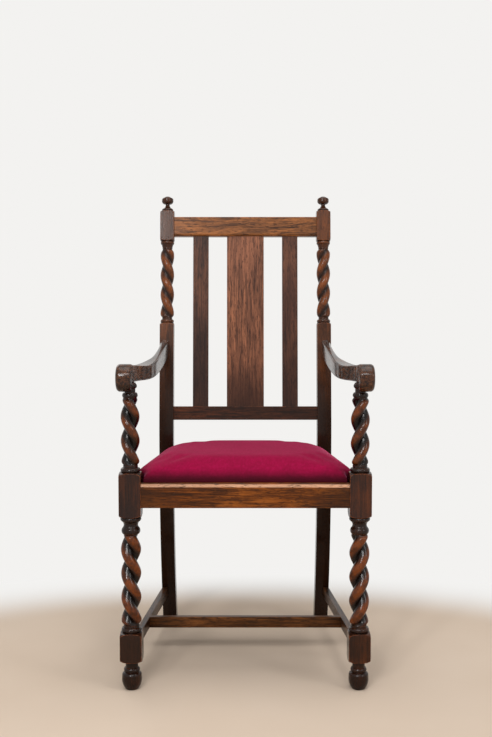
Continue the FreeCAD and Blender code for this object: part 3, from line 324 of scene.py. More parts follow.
@dataclass(frozen=True)
class Layer:
    """One noise of the oak: stretch along the grain, scale, octaves and share in the tone."""

    along: float
    scale: float
    detail: float
    rough: float = 0.55
    swirl: float = 0.0
    share: float = 0.0

    def lay(self, recipe: Recipe, point: Tap) -> Tap:
        """The noise at a point whose Z runs along the grain.

        Args:
            recipe: The material's recipe.
            point: Coordinates.

        Returns:
            Its value.
        """
        if self.along != 1:
            point = recipe.vector("MULTIPLY", point, (1, 1, self.along))
        return recipe.noise(point, self.scale, self.detail, self.rough, self.swirl)


BEND = Layer(0.35, 14, 2, share=0.3)
STREAKS = Layer(0.05, 210, 4, 0.6, 0.6, 0.45)
SWIRLS = Layer(0.13, 70, 4, 0.62, 2.2, 0.6)
FIBRES = Layer(0.03, 900, 3, 0.7, share=0.18)
PORES = Layer(0.045, 1500, 1)
FLECKS = Layer(0.16, 480, 2, 0.5, 0.4)
PATINA = Layer(1, 9, 2)
RUBBING = Layer(1, 60, 3)
# Middle of the mixed noises, a little under a half
TONE_MIDDLE = 0.48


@dataclass(frozen=True)
class Fade:
    """A shade that comes in between two places along an axis."""

    start: float
    end: float
    strength: float


@dataclass(frozen=True)
class TwistLine:
    """The axis of a twisted post, and how far its grooves, crests and square blocks lie from it."""

    x: float
    y: float
    groove: float
    crest: float
    block: float
    bottom: float
    top: float
    raked: bool = False
    plain: Optional[tuple[float, float]] = None

    def masks(self, recipe: Recipe) -> tuple[Tap, Tap, Tap]:
        """Find the twist, and everything that came off the lathe.

        Args:
            recipe: The material's recipe.

        Returns:
            Mask of the twist, height between groove and crest, and mask of all turned parts.
        """
        turn = (RAKE, 0, 0) if self.raked else (0, 0, 0)
        local = recipe.place(turn, about=(self.x, self.y, self.bottom))
        radius = recipe.vector("LENGTH", recipe.vector("MULTIPLY", local, (1, 1, 0)), output="Value")
        along = recipe.axis(local, "Z")
        span = self.top - self.bottom
        inside = along.ramp(-0.002, 0.006) * (1 - along.ramp(span - 0.006, span + 0.002))
        inside = inside * (1 - radius.ramp(self.crest + 0.0006, self.crest + 0.0014))
        if self.plain:
            low, high = (z - self.bottom for z in self.plain)
            inside = inside * (1 - along.ramp(low - 0.002, low) * (1 - along.ramp(high, high + 0.002)))
        turned = 1 - radius.ramp(self.block - 0.0009, self.block - 0.0003)
        return inside, radius.ramp(self.groove, self.crest), turned


@dataclass(frozen=True)
class Oak:
    """Dark polished oak: open grain, streaks, worn arrises, painted shade in corners and twist grooves,
    rubbed twist crests with a painted highlight, and a painted highlight along a rail's edge.
    """

    name: str
    deep: Colour
    body: Colour
    warm: Colour = (140, 78, 36)
    grain: Grain = Grain.UPRIGHT
    figure: float = 0.5
    # Strength of the worn arrises, and of the rubbing and painted highlight on twist crests
    wear_and_highlight: float = 0.5
    sheen_rough: float = 0.32
    seed: float = 0.0
    spread: float = 0.1
    fleck: float = 0.7
    coat: float = 0.16
    low_end: Optional[Fade] = None
    dark_ends: Optional[Fade] = None
    # Heights of a painted highlight along a rail's rounded edge
    highlight_band: Optional[tuple[float, float]] = None
    twist: Optional[TwistLine] = None

    def paint(self) -> bpy.types.Material:
        """Build the material.

        Returns:
            The material for pieces whose grain runs this way.
        """
        recipe = Recipe.of(self.name)
        point = recipe.place(self.grain.value, (self.seed, self.seed * 1.7, self.seed * 0.6))
        bend, streaks, swirls, fibres, patina = (
            layer.lay(recipe, point) for layer in (BEND, STREAKS, SWIRLS, FIBRES, PATINA))
        pores = PORES.lay(recipe, point).ramp(0.62, 0.7)
        flecks = FLECKS.lay(recipe, point).ramp(0.54, 0.66)
        rub = RUBBING.lay(recipe, point).ramp(0.32, 0.62)
        mixed = streaks * STREAKS.share + swirls * self.figure * SWIRLS.share
        mixed = mixed + bend * BEND.share + fibres * FIBRES.share
        whole = STREAKS.share + BEND.share + FIBRES.share + self.figure * SWIRLS.share
        tone = (mixed * (1 / whole)).ramp(TONE_MIDDLE - self.spread, TONE_MIDDLE + self.spread)
        wood = recipe.mix(tone, self.deep, self.body)
        wood = recipe.mix((patina * 0.7 + tone * 0.5).ramp(0.55, 1.0) * 0.45, wood, self.warm)

        rounded = recipe.add("Bevel", {"samples": 4}, {"Radius": 0.0028})
        facing = recipe.vector("DOT_PRODUCT", rounded, recipe.add("NewGeometry", output="Normal"),
                               output="Value")
        wood = recipe.mix((1 - facing).ramp(0.004, 0.12) * rub * self.wear_and_highlight, wood, self.warm)
        if self.twist:
            wood = self._shade_twist(recipe, wood, rub)
        # Painted shade in corners and recesses, from an ambient occlusion mask; the same mask roughens them
        closed = 1 - recipe.add("AmbientOcclusion", {"samples": 4, "only_local": True}, {"Distance": 0.012},
                                output="AO").ramp(0.35, 0.95)
        wood = recipe.mix(closed * 0.85, wood, CORNER_SHADE)
        wood = self._shade_ends(recipe, wood, bend)
        wood = recipe.mix(flecks * self.fleck, wood, self.deep)
        wood = recipe.mix(pores * 0.6, wood, self.deep)

        rough = self.sheen_rough + (patina - 0.5) * 0.16 + pores * 0.12 + closed * 0.25
        normal = recipe.bump(streaks * 0.5 + fibres * 0.5 - pores * 0.8, 0.00025, 0.5, rounded)
        return recipe.finish(Base_Color=wood, Roughness=rough, Normal=normal, Specular_IOR_Level=0.09,
                             Coat_Weight=self.coat, Coat_Roughness=0.12)

    def _shade_ends(self, recipe: Recipe, wood: Tap, bend: Tap) -> Tap:
        """Darken the lower end of an upright or both ends of a rail, and paint a highlight along a rail's
        edge.

        Args:
            recipe: The material's recipe.
            wood: Colour so far.
            bend: Slow noise that breaks up the borders.

        Returns:
            The shaded colour.
        """
        if self.low_end:
            height = recipe.axis(recipe.place(), "Z") + (bend - 0.5) * 0.08
            share = (1 - height.ramp(self.low_end.start, self.low_end.end)) * self.low_end.strength
            wood = recipe.mix(share, wood, self.deep)
        if self.dark_ends:
            across = recipe.add("Math", {"operation": "ABSOLUTE"}, [recipe.axis(recipe.place(), "X")])
            out = across + (bend - 0.5) * 0.12
            share = out.ramp(self.dark_ends.start, self.dark_ends.end) * self.dark_ends.strength
            wood = recipe.mix(share, wood, self.deep)
        # A painted highlight along the rounded top edge of a rail
        if self.highlight_band:
            low, high = self.highlight_band
            height = recipe.axis(recipe.place(), "Z") + (bend - 0.5) * 0.002
            band = height.ramp(low - 0.0015, low + 0.001) * (1 - height.ramp(high - 0.001, high + 0.0015))
            wood = recipe.mix(band * (0.35 + bend * 0.8), wood, PAINTED_HIGHLIGHT_OAK)
        return wood

    def _shade_twist(self, recipe: Recipe, wood: Tap, rub: Tap) -> Tap:
        """Darken what was turned, paint shade into the grooves of the twist, and lighten its crests with
        rubbing and a painted highlight.

        Args:
            recipe: The material's recipe.
            wood: Colour so far.
            rub: Mask of the rubbed places.

        Returns:
            The colour with painted shade in the grooves and rubbed crests with a painted highlight.
        """
        inside, height, turned = self.twist.masks(recipe)
        wood = recipe.mix(turned * 0.5, wood, TURNED_SHADE)
        # Painted shade in the grooves of the twist
        wood = recipe.mix((1 - height) * inside * 0.95, wood, GROOVE_SHADE)
        # Crests lightened by rubbing and by a painted highlight
        return recipe.mix(height ** 3 * inside * (rub * 0.4 + 0.2) * self.wear_and_highlight, wood, self.warm)


@dataclass(frozen=True)
class Velvet:
    """Short-pile cotton velvet, with painted shade that deepens the colour low on its sides and front."""

    name: str = "burgundy_velvet"
    deep: Colour = (52, 0, 13)
    body: Colour = (140, 0, 52)
    light: Colour = (160, 18, 76)
    sheen: Colour = (206, 104, 140)
    # Heights over which the painted shade low on the sides and front gives way to the lit top
    low: float = 0.45
    high: float = 0.475

    def paint(self) -> bpy.types.Material:
        """Build the material.

        Returns:
            The velvet.
        """
        recipe = Recipe.of(self.name)
        point = recipe.place()
        crushed = recipe.noise(point, 26, 3, 0.5, 0.8)
        brushed = recipe.noise(recipe.vector("MULTIPLY", point, (1, 0.25, 1)), 210, 3)
        pile = recipe.noise(point, 2600, 2)
        height = recipe.axis(point, "Z") + (crushed - 0.5) * 0.005
        clear_of_shade = height.ramp(self.low, self.high)
        cloth = recipe.mix((crushed * 0.5 + brushed * 0.5).ramp(0.3, 0.7) * 0.2 + 0.8, self.deep, self.body)
        cloth = recipe.mix((brushed * 0.6 + pile * 0.4).ramp(0.45, 0.7) * 0.3, cloth, self.light)
        # Painted shade: the low sides and front of the cushion are darkened towards the deep colour
        cloth = recipe.mix((1 - clear_of_shade) * 0.95, cloth, self.deep)
        normal = recipe.bump(pile * 0.5 + brushed * 0.5 + crushed * 0.3, 0.0005, 0.5)
        return recipe.finish(Base_Color=cloth, Roughness=0.8, Normal=normal, Sheen_Weight=0.45,
                             Sheen_Roughness=0.35, Sheen_Tint=linear(self.sheen), Specular_IOR_Level=0.1)


@dataclass(frozen=True)
class Weave:
    """A plain weave of two sets of threads, such as webbing, hessian or lining."""

    name: str
    thread: Colour
    gap: Colour
    pitch: float
    stripe: float = 0.0
    stripe_colour: Colour = (70, 30, 24)

    def paint(self) -> bpy.types.Material:
        """Build the material.

        Returns:
            The cloth.
        """
        recipe = Recipe.of(self.name)
        point = recipe.place()
        bands = [recipe.axis(point, letter) * (math.pi / self.pitch) for letter in "XY"]
        warp, weft = (recipe.add("Math", {"operation": "SINE"}, [band]) for band in bands)
        over = (warp * weft).ramp(-0.8, 0.8)
        slub = recipe.noise(point, 420, 3)
        colour = recipe.mix((over * 0.6 + slub * 0.5).ramp(0.2, 0.75), self.gap, self.thread)
        if self.stripe:
            line = recipe.add("Math", {"operation": "SINE"}, [bands[0] * 0.08]).ramp(0.9, 0.97)
            colour = recipe.mix(line * self.stripe, colour, self.stripe_colour)
        normal = recipe.bump(over + slub * 0.4, self.pitch * 0.25, 0.7)
        return recipe.finish(Base_Color=colour, Roughness=0.9, Normal=normal)


@dataclass(frozen=True)
class Beech:
    """Bare frame timber, a little dusty."""

    name: str = "bare_beech"
    body: Colour = (176, 134, 92)
    dark: Colour = (120, 84, 54)

    def paint(self) -> bpy.types.Material:
        """Build the material.

        Returns:
            The bare wood.
        """
        recipe = Recipe.of(self.name)
        point = recipe.place()
        rings = recipe.noise(recipe.vector("MULTIPLY", point, (0.1, 1, 1)), 120, 3, 0.6, 0.8)
        flecks = recipe.noise(recipe.vector("MULTIPLY", point, (0.25, 1, 1)), 700, 2).ramp(0.58, 0.66)
        wood = recipe.mix(rings.ramp(0.35, 0.7), self.dark, self.body)
        wood = recipe.mix(flecks * 0.4, wood, self.dark)
        return recipe.finish(Base_Color=wood, Roughness=0.75, Normal=recipe.bump(rings, 0.0003, 0.4))


@dataclass(frozen=True)
class Iron:
    """Dull screw steel or blued tacks, with a bloom of rust."""

    name: str
    metal: Colour
    rust: Colour = (92, 48, 28)

    def paint(self) -> bpy.types.Material:
        """Build the material.

        Returns:
            The metal.
        """
        recipe = Recipe.of(self.name)
        point = recipe.place()
        bloom = recipe.noise(point, 500, 4).ramp(0.5, 0.68)
        scratch = recipe.noise(recipe.vector("MULTIPLY", point, (1, 1, 0.2)), 2400, 2)
        colour = recipe.mix(bloom * 0.7, self.metal, self.rust)
        return recipe.finish(Base_Color=colour, Metallic=1 - bloom * 0.7, Roughness=0.38 + bloom * 0.4,
                             Normal=recipe.bump(scratch + bloom, 0.0001, 0.5))


def dress(node: str, finish: Finish) -> None:
    """Give a carried-over piece its material.

    Args:
        node: Name of the piece.
        finish: The finish it gets.
    """
    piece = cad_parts[node]
    material = bpy.data.materials.get(finish.name) or finish.paint()
    if not piece.material_slots:
        piece.data.materials.append(material)
    for slot in piece.material_slots:
        slot.material = material
    log.info("%s: %s", node, finish.name)


def smooth_copy(node: str, finish: Finish) -> None:
    """Put a merged copy with smooth turnings and crisp corners in the place of a carried-over piece.

    Args:
        node: Name of the piece.
        finish: The finish it gets.
    """
    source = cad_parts[node]
    shape = bmesh.new()
    shape.from_mesh(source.data)
    shape.transform(source.matrix_world)
    bmesh.ops.remove_doubles(shape, verts=shape.verts, dist=MERGE_DISTANCE)
    bmesh.ops.dissolve_degenerate(shape, edges=shape.edges, dist=MERGE_DISTANCE)
    for face in shape.faces:
        face.smooth = True
        face.material_index = 0
    for edge in shape.edges:
        edge.smooth = len(edge.link_faces) == 2 and edge.calc_face_angle() < CRISP_ANGLE
    mesh = bpy.data.meshes.new(f"smooth_{node}")
    shape.to_mesh(mesh)
    shape.free()
    mesh.materials.append(finish.paint())
    copy = bpy.data.objects.new(f"smooth_{node}", mesh)
    bpy.context.scene.collection.objects.link(copy)
    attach(copy, "frame")
    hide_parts(node)
    log.info("%s: smooth copy with %s", node, finish.name)


@dataclass
class Woodwork:
    """The oak pieces of the frame, each with the finish that its place has given it."""

    post_half: float = 0.023
    back_post_half: float = 0.017
    back_twist_start: float = 0.248
    back_twist_length: float = 0.174
    finishes: dict[str, Oak] = field(default_factory=dict)

    def build(self) -> None:
        """Dress every oak piece, the turned and scrolled ones on a smooth copy."""
        self._plan_rails()
        self._plan_slats()
        for sign, side in ((-1, "left"), (1, "right")):
            self._plan_posts(sign, side)
            self._plan_side(sign, side)
        for node, finish in self.finishes.items():
            if node.startswith(("front_post", "back_post", "arm_left", "arm_right")):
                smooth_copy(node, finish)
            else:
                dress(node, finish)

    def _plan_rails(self) -> None:
        """Choose the finishes of the rails that run across, the cross stretcher and the plugs."""
        self.finishes["top_rail"] = Oak(
            "oak_top_rail", (42, 23, 12), (136, 83, 44), (170, 104, 52), Grain.ACROSS, figure=0.9,
            sheen_rough=0.3, seed=2.1, spread=0.12)
        self.finishes["lower_back_rail"] = Oak(
            "oak_lower_rail", (24, 11, 5), (72, 38, 22), (124, 66, 36), Grain.ACROSS, figure=0.4, wear_and_highlight=0.8,
            sheen_rough=0.4, seed=2.6, spread=0.15)
        # The front rail has a painted highlight along its rounded top edge
        self.finishes["front_seat_rail"] = Oak(
            "oak_front_rail", (40, 18, 2), (118, 58, 4), (170, 96, 34), Grain.ACROSS, figure=0.7, wear_and_highlight=0.9,
            sheen_rough=0.3, seed=4.4, spread=0.13, dark_ends=Fade(0.1, 0.22, 0.7),
            highlight_band=(0.4368, 0.4422))
        self.finishes["back_seat_rail"] = Oak(
            "oak_back_rail", (30, 15, 7), (72, 40, 19), (130, 74, 34), Grain.ACROSS, figure=0.6, wear_and_highlight=0.4,
            sheen_rough=0.45, seed=4.9)
        self.finishes["cross_stretcher"] = Oak(
            "oak_cross", (30, 16, 7), (96, 55, 22), (146, 90, 46), Grain.ACROSS, figure=0.6, wear_and_highlight=0.6,
            sheen_rough=0.36, seed=5.3, spread=0.13, dark_ends=Fade(0.1, 0.22, 0.5))
        self.finishes["arm_screw_plugs"] = Oak(
            "oak_plugs", (24, 12, 7), (56, 34, 20), grain=Grain.FORE_AFT, seed=6)

    def _plan_slats(self) -> None:
        """Choose the finishes of the centre splat and the two slats beside it."""
        self.finishes["centre_splat"] = Oak(
            "oak_splat", (50, 27, 18), (147, 93, 67), (172, 108, 72), Grain.RAKED, figure=0.2,
            sheen_rough=0.34, seed=3.2, spread=0.15, low_end=Fade(0.56, 0.72, 0.85))
        for sign, side in ((-1, "left"), (1, "right")):
            self.finishes[f"side_slat_{side}"] = Oak(
                f"oak_slat_{side}", (30, 16, 12), (88, 54, 40), (118, 74, 50), Grain.RAKED, figure=0.2,
                sheen_rough=0.36, seed=0.7 * sign, spread=0.15, low_end=Fade(0.62, 0.86, 0.6))

    def _plan_side(self, sign: int, side: str) -> None:
        """Choose the finishes of the arm, seat rail and stretcher of one side.

        Args:
            sign: -1 on the left and 1 on the right.
            side: Its name.
        """
        self.finishes[f"arm_{side}"] = Oak(
            f"oak_arm_{side}", (18, 9, 6), (50, 31, 21), (150, 88, 46), Grain.FORE_AFT, figure=0.3, wear_and_highlight=0.9,
            sheen_rough=0.2, seed=0.3 * sign, spread=0.2, fleck=0.4, coat=0.34)
        self.finishes[f"side_seat_rail_{side}"] = Oak(
            f"oak_side_rail_{side}", (30, 15, 6), (80, 43, 17), (140, 80, 32), Grain.FORE_AFT, wear_and_highlight=0.6,
            seed=0.9 * sign)
        self.finishes[f"side_stretcher_{side}"] = Oak(
            f"oak_stretcher_{side}", (22, 11, 5), (66, 38, 22), (126, 84, 54), Grain.FORE_AFT, wear_and_highlight=0.7,
            seed=1.1 * sign)

    def _plan_posts(self, sign: int, side: str) -> None:
        """Choose the finishes of the two posts of one side.

        Args:
            sign: -1 on the left and 1 on the right.
            side: Its name.
        """
        legs = TwistLine(x=0.242 * sign, y=self.post_half - MIDDLE_DEPTH, groove=0.0105, crest=0.0208,
                         block=self.post_half, bottom=0.1385, top=0.624, plain=(0.337, 0.479))
        self.finishes[f"front_post_{side}"] = Oak(
            f"oak_front_post_{side}", (20, 9, 5), (50, 26, 15), (146, 72, 22), figure=0.2, wear_and_highlight=0.9,
            sheen_rough=0.22, seed=0.2 * sign, spread=0.4, fleck=0.3, coat=0.3, twist=legs)
        inward = Vector((0, self.back_post_half * math.cos(RAKE), -self.back_post_half * math.sin(RAKE)))
        upward = self.back_twist_start * Vector((0, math.sin(RAKE), math.cos(RAKE)))
        start = RAKE_FOOT + inward + upward
        back = TwistLine(x=0.196 * sign, y=start.y, groove=0.0088, crest=0.0166, block=self.back_post_half,
                         bottom=start.z, top=start.z + self.back_twist_length, raked=True)
        self.finishes[f"back_post_{side}"] = Oak(
            f"oak_back_post_{side}", (28, 13, 5), (98, 56, 32), (146, 78, 34), Grain.RAKED, figure=0.3,
            wear_and_highlight=0.9, sheen_rough=0.26, seed=0.5 * sign, spread=0.24, fleck=0.5, coat=0.26,
            low_end=Fade(0.5, 0.8, 0.92), twist=back)


@dataclass
class LooseSeat:
    """The drop-in seat: its frame, webbing, cloths, fixings and cushion."""

    # Grid of the cover
    columns: int = 92
    rows: int = 76
    crowding: float = 0.25
    # Plan of the seat and the notches round the front posts
    back_half_width: float = 0.1942
    post_notch: tuple[float, float] = (0.2152, -0.2087)
    notch_ease: float = 0.006
    notch_band: float = 0.28
    # Skirt, thickness of the cover and top of the hollow
    skirt: float = 0.016
    cover: float = 0.0017
    cavity_top: float = 0.4551
    # Crown: how far the shoulders reach inward and how square they are
    side_reach: float = 0.088
    front_reach: float = 0.078
    back_reach: float = 0.118
    corner_reach: float = 0.0205
    side_fullness: float = 2.35
    end_fullness: float = 2.3
    crown_drop: float = 0.006
    start_share: float = 0.94
    # Filling
    pressure: float = 4.0
    most_move: float = 0.005
    frames: int = 20
    brim_margin: float = 0.0005
    smoothing: int = 9
    smoothing_margin: float = 0.003
    # Corners of the plain solid's box, and the height of the skirt's upper edge
    low: Vector = field(init=False)
    high: Vector = field(init=False)
    brim: float = field(init=False)

    def __post_init__(self) -> None:
        """Measure the plain solid."""
        self.low, self.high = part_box("seat_cushion")
        self.brim = self.low.z + self.skirt + self.brim_margin

    def build(self) -> None:
        """Dress the hidden pieces and make the cushion."""
        for node in ("seat_frame_front", "seat_frame_back", "seat_frame_left", "seat_frame_right",
                     "seat_frame_dowels", "corner_block_front_left", "corner_block_front_right",
                     "corner_block_back_left", "corner_block_back_right"):
            dress(node, Beech())
        dress("webbing_fore_aft", Weave("jute_webbing", (172, 140, 96), (90, 66, 42), 0.0016, 0.8))
        dress("webbing_cross", Weave("jute_webbing_cross", (168, 136, 92), (88, 64, 40), 0.0016, 0.8))
        dress("hessian_base", Weave("hessian", (178, 146, 100), (84, 62, 38), 0.0022))
        dress("bottom_cloth", Weave("black_lining", (38, 36, 36), (12, 12, 12), 0.0009))
        dress("bottom_cloth_tacks", Iron("blued_tacks", (52, 54, 62)))
        for node in ("corner_block_screws", "arm_screws"):
            dress(node, Iron("screw_steel", (150, 148, 142)))
        self._build_cushion()

    def _build_cushion(self) -> None:
        """Make the crowned velvet cushion and let it stand for the plain solid."""
        cushion = bpy.data.objects.new("velvet_seat", self._form())
        bpy.context.scene.collection.objects.link(cushion)
        self._inflate(cushion)
        self._close(cushion.data)
        cushion.data.materials.clear()
        cushion.data.materials.append(Velvet().paint())
        for face in cushion.data.polygons:
            face.use_smooth = True
        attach(cushion, "seat")
        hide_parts("seat_cushion")
        log.info("velvet_seat: %d faces", len(cushion.data.polygons))

    def _half_width(self, y: float) -> float:
        """Half the width of the seat between its side rails.

        Args:
            y: Depth at which it is wanted.

        Returns:
            The half width there.
        """
        start = self.post_notch[1]
        share = (y - start) / (self.high.y - start)
        return self.high.x + (self.back_half_width - self.high.x) * share

    @staticmethod
    def _swell(distance: float, reach: float, fullness: float) -> float:
        """How far the stuffing has risen at a distance from an edge.

        Args:
            distance: Distance from the edge.
            reach: Distance at which the top is level.
            fullness: How square the shoulder is; 1 is a straight slope.

        Returns:
            Share of the full height.
        """
        left = 1 - clamp(distance / reach)
        return (1 - left ** fullness) ** (1 / fullness)

    def _plan(self, u: float, v: float, inset: float) -> tuple[float, float]:
        """A point of the seat's plan, which steps in round the front posts.

        Args:
            u: Place across, from -1 to 1.
            v: Place from front to back, from -1 to 1.
            inset: How far the outline is drawn in.

        Returns:
            Its x and y.
        """
        u, v = (t * (1 + self.crowding - self.crowding * t * t) for t in (u, v))
        middle, half = (self.low.y + self.high.y) / 2, (self.high.y - self.low.y) / 2 - inset
        y = middle + v * half
        notch_x, notch_y = self.post_notch
        wide = self._half_width(y) - inset
        past = clamp((y - inset - notch_y) / self.notch_ease)
        step = (wide - (notch_x - inset)) * (1 - past * past * (3 - 2 * past))
        near_edge = clamp((abs(u) - (1 - self.notch_band)) / self.notch_band)
        return math.copysign(wide * abs(u) - step * near_edge, u), y

    def _height(self, x: float, y: float) -> float:
        """Height of the crown over the skirt.

        Args:
            x: Place across.
            y: Place from front to back.

        Returns:
            The height at that point of the plan.
        """
        notch_x, notch_y = self.post_notch
        gap = math.hypot(max(notch_x - abs(x), 0.0), max(y - notch_y, 0.0))
        share = self._swell(self._half_width(y) - abs(x), self.side_reach, self.side_fullness)
        share *= self._swell(gap, self.corner_reach, self.side_fullness)
        share *= self._swell(y - self.low.y, self.front_reach, self.end_fullness)
        share *= self._swell(self.high.y - y, self.back_reach, self.end_fullness)
        return share * (self.high.z - self.crown_drop - self.low.z - self.skirt)

    def _form(self) -> bpy.types.Mesh:
        """The crowned cover before it is filled out, turned in under the loose frame.

        Returns:
            A mesh of even quads, open over the hollow for the frame.
        """
        shape = bmesh.new()
        bmesh.ops.create_grid(shape, x_segments=self.columns, y_segments=self.rows, size=1)
        rim = [edge for edge in shape.edges if edge.is_boundary]
        for level in (-1, -2, -3):
            made = bmesh.ops.extrude_edge_only(shape, edges=rim)["geom"]
            for corner in (item for item in made if isinstance(item, bmesh.types.BMVert)):
                corner.co.z = level
            rim = [item for item in made if isinstance(item, bmesh.types.BMEdge) and item.is_boundary]
        for corner in shape.verts:
            level = round(corner.co.z)
            x, y = self._plan(corner.co.x, corner.co.y, self.cover if level < -1 else 0.0)
            if level == 0:
                z = self.low.z + self.skirt + self._height(x, y) * self.start_share
            else:
                z = self.cavity_top if level == -3 else self.low.z
            corner.co = (x, y, z)
        mesh = bpy.data.meshes.new("velvet_seat")
        shape.to_mesh(mesh)
        shape.free()
        return mesh

    def _inflate(self, cushion: bpy.types.Object) -> None:
        """Fill the cushion out with a cloth simulation.

        Args:
            cushion: The object that holds the form.
        """
        scene = bpy.context.scene
        rest = [vertex.co.copy() for vertex in cushion.data.vertices]
        held = cushion.vertex_groups.new(name="held")
        fixed = [i for i, point in enumerate(rest) if point.z < self.brim or self._in_cavity(point)]
        held.add(fixed, 1.0, "REPLACE")
        cloth = cushion.modifiers.new("fill", "CLOTH")
        cloth.settings.use_pressure = True
        cloth.settings.uniform_pressure_force = self.pressure
        cloth.settings.vertex_group_mass = "held"
        cloth.settings.effector_weights.gravity = 0
        cloth.point_cache.frame_end = self.frames
        for number in range(1, self.frames + 1):
            scene.frame_set(number)
        self._apply(cushion)
        self._settle(cushion.data, rest)
        self._smooth(cushion.data)
        scene.frame_set(1)
        finer = cushion.modifiers.new("finer", "SUBSURF")
        finer.levels = finer.render_levels = 1
        self._apply(cushion)

    def _settle(self, mesh: bpy.types.Mesh, rest: Sequence[Vector]) -> None:
        """Limit how far the filling has moved the cover, and bring its crown to the wanted height.

        Args:
            mesh: The filled cushion.
            rest: Where its corners were before.
        """
        for vertex, start in zip(mesh.vertices, rest):
            move = vertex.co - start
            if move.length > self.most_move:
                vertex.co = start + move.normalized() * self.most_move
        risen = max(vertex.co.z for vertex in mesh.vertices)
        log.info("velvet_seat: crown rose from %.4f to %.4f", max(point.z for point in rest), risen)
        ratio = (self.high.z - self.crown_drop - self.brim) / (risen - self.brim)
        for vertex, start in zip(mesh.vertices, rest):
            if start.z > self.brim and not self._in_cavity(start):
                vertex.co.z = self.brim + (vertex.co.z - self.brim) * ratio

    def _smooth(self, mesh: bpy.types.Mesh) -> None:
        """Smooth the crown and leave the skirt.

        Args:
            mesh: The filled cushion.
        """
        shape = bmesh.new()
        shape.from_mesh(mesh)
        lowest = self.brim + self.smoothing_margin
        crown = [v for v in shape.verts if v.co.z > lowest and not self._in_cavity(v.co)]
        for _ in range(self.smoothing):
            bmesh.ops.smooth_vert(shape, verts=crown, factor=0.5, use_axis_x=True, use_axis_y=True,
                                  use_axis_z=True)
        shape.to_mesh(mesh)
        shape.free()

    @staticmethod
    def _close(mesh: bpy.types.Mesh) -> None:
        """Close the cover over the loose frame.

        Args:
            mesh: The cushion, still open there.
        """
        shape = bmesh.new()
        shape.from_mesh(mesh)
        bmesh.ops.holes_fill(shape, edges=[edge for edge in shape.edges if edge.is_boundary], sides=0)
        bmesh.ops.recalc_face_normals(shape, faces=shape.faces)
        shape.to_mesh(mesh)
        shape.free()

    def _in_cavity(self, point: Vector) -> bool:
        """Whether a corner of the form belongs to the hollow over the loose frame."""
        return abs(point.z - self.cavity_top) < 1e-6

    @staticmethod
    def _apply(piece: bpy.types.Object) -> None:
        """Bake a piece's modifiers into its mesh.

        Args:
            piece: The piece that has them.
        """
        view = bpy.context.evaluated_depsgraph_get()
        mesh = bpy.data.meshes.new_from_object(piece.evaluated_get(view))
        piece.modifiers.clear()
        piece.data = mesh


@dataclass(frozen=True)
class Lamp:
    """A soft oblong lamp."""

    name: str
    spot: Triple
    aim: Triple
    size: tuple[float, float]
    watts: float

    def hang(self) -> None:
        """Put the lamp in its place."""
        data = bpy.data.lights.new(self.name, "AREA")
        data.shape = "RECTANGLE"
        data.size, data.size_y = self.size
        data.energy = self.watts
        lamp = bpy.data.objects.new(self.name, data)
        lamp.location = self.spot
        lamp.rotation_euler = (Vector(self.aim) - Vector(self.spot)).to_track_quat("-Z", "Y").to_euler()
        bpy.context.scene.collection.objects.link(lamp)


LAMPS = (
    Lamp("window", (-0.1, -2.9, 2.6), (0, 0, 0.5), (1.7, 0.3), 32),
    Lamp("left_pane", (-1.15, -2.7, 1.9), (0, 0, 0.6), (0.22, 0.6), 15),
    Lamp("middle_pane", (-0.65, -2.8, 1.9), (0, 0, 0.6), (0.22, 0.6), 15),
    Lamp("right_pane", (2.1, -1.7, 1.7), (0, 0, 0.6), (0.5, 0.8), 10),
    Lamp("ceiling", (0.2, -0.5, 3.2), (0, 0, 0.4), (2.2, 2.2), 42),
    Lamp("rear", (-1.6, 2.2, 2.4), (0, 0, 0.7), (1.6, 1.6), 12),
)


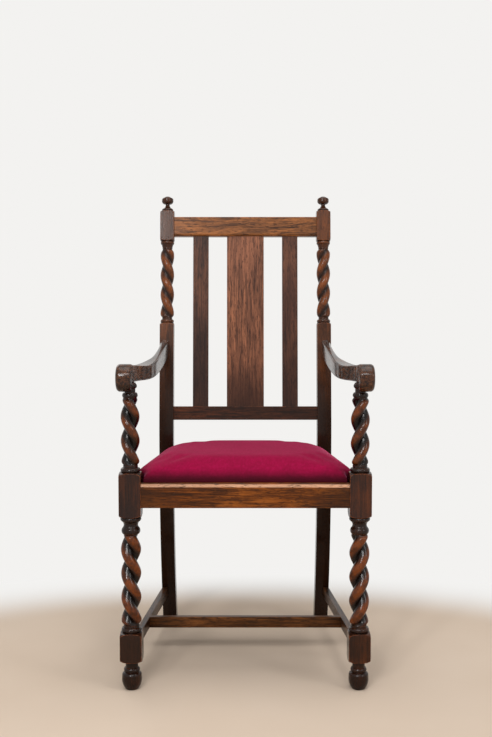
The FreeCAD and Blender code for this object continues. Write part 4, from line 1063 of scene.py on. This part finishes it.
@dataclass
class Studio:
    """The pale floor, the soft light and the camera."""

    floor_radius: float = 9.0
    floor_drop: float = 0.0005
    floor_near: tuple[Colour, Colour] = ((206, 186, 166), (216, 198, 180))
    floor_far: Colour = (246, 245, 243)
    eye: Triple = (0.0016, -2.3737, 0.826)
    pitch: float = math.radians(3.78)
    lens: float = 50.0
    sensor: float = 36.0
    fill: float = 0.32
    fill_colour: Triple = (1.0, 0.985, 0.96)
    backdrop: Colour = (243, 242, 240)

    def build(self) -> None:
        """Set up everything that isn't the chair."""
        bpy.context.scene.view_settings.view_transform = "Standard"
        self._camera()
        self._floor()
        self._world()
        for lamp in LAMPS:
            lamp.hang()

    def _camera(self) -> None:
        """Stand the camera where the photographer stood."""
        data = bpy.data.cameras.new("eye")
        data.lens = self.lens
        data.sensor_width = self.sensor
        camera = bpy.data.objects.new("eye", data)
        camera.location = self.eye
        camera.rotation_euler = (math.pi / 2 - self.pitch, 0, 0)
        bpy.context.scene.collection.objects.link(camera)
        bpy.context.scene.camera = camera

    def _floor(self) -> None:
        """Lay a round pale floor that fades into the background."""
        shape = bmesh.new()
        bmesh.ops.create_circle(shape, cap_ends=True, radius=self.floor_radius, segments=96)
        mesh = bpy.data.meshes.new("floor")
        shape.to_mesh(mesh)
        shape.free()
        floor = bpy.data.objects.new("floor", mesh)
        floor.location.z = -self.floor_drop
        recipe = Recipe.of("pale_floor")
        point = recipe.place()
        middle = recipe.add("Mapping", {}, [point, (0, 0.15, 0), (0, 0, 0), (0.6, 1, 1)])
        away = recipe.vector("LENGTH", middle, output="Value").ramp(0.5, 0.85)
        near = recipe.mix(recipe.noise(point, 3, 2), *self.floor_near)
        surface = recipe.add("BsdfPrincipled", {}, {"Base Color": recipe.mix(away, near, self.floor_far),
                                                    "Roughness": 0.9, "Specular IOR Level": 0.1})
        glow = recipe.add("Emission", {}, {"Color": linear(self.backdrop), "Strength": 1.0})
        share = self._seen(recipe) * away
        mesh.materials.append(recipe.close(recipe.add("MixShader", {}, [share, surface, glow])))
        bpy.context.scene.collection.objects.link(floor)

    @staticmethod
    def _seen(recipe: Recipe) -> Tap:
        """Mask of the rays that see the background: from the camera, off a gloss or through glass.

        Args:
            recipe: The recipe that the mask is for.

        Returns:
            1 for those rays and 0 for all others.
        """
        kinds = ("Camera", "Glossy", "Transmission")
        rays = [recipe.add("LightPath", output=f"Is {kind} Ray") for kind in kinds]
        either = recipe.add("Math", {"operation": "MAXIMUM"}, rays[:2])
        return recipe.add("Math", {"operation": "MAXIMUM"}, [either, rays[2]])

    def _world(self) -> None:
        """Surround the chair with an even pale light and a pale background."""
        world = bpy.data.worlds.new("room")
        bpy.context.scene.world = world
        recipe = Recipe(world)
        light = recipe.add("Background", {}, {"Color": (*self.fill_colour, 1), "Strength": self.fill})
        view = recipe.add("Background", {}, {"Color": linear(self.backdrop), "Strength": 1.0})
        recipe.close(recipe.add("MixShader", {}, [self._seen(recipe), light, view]))


def main() -> None:
    """Build the room and the chair."""
    logging.basicConfig(level=logging.INFO, format="%(message)s")
    Studio().build()
    Woodwork().build()
    LooseSeat().build()


if __name__ == "__main__":
    main()
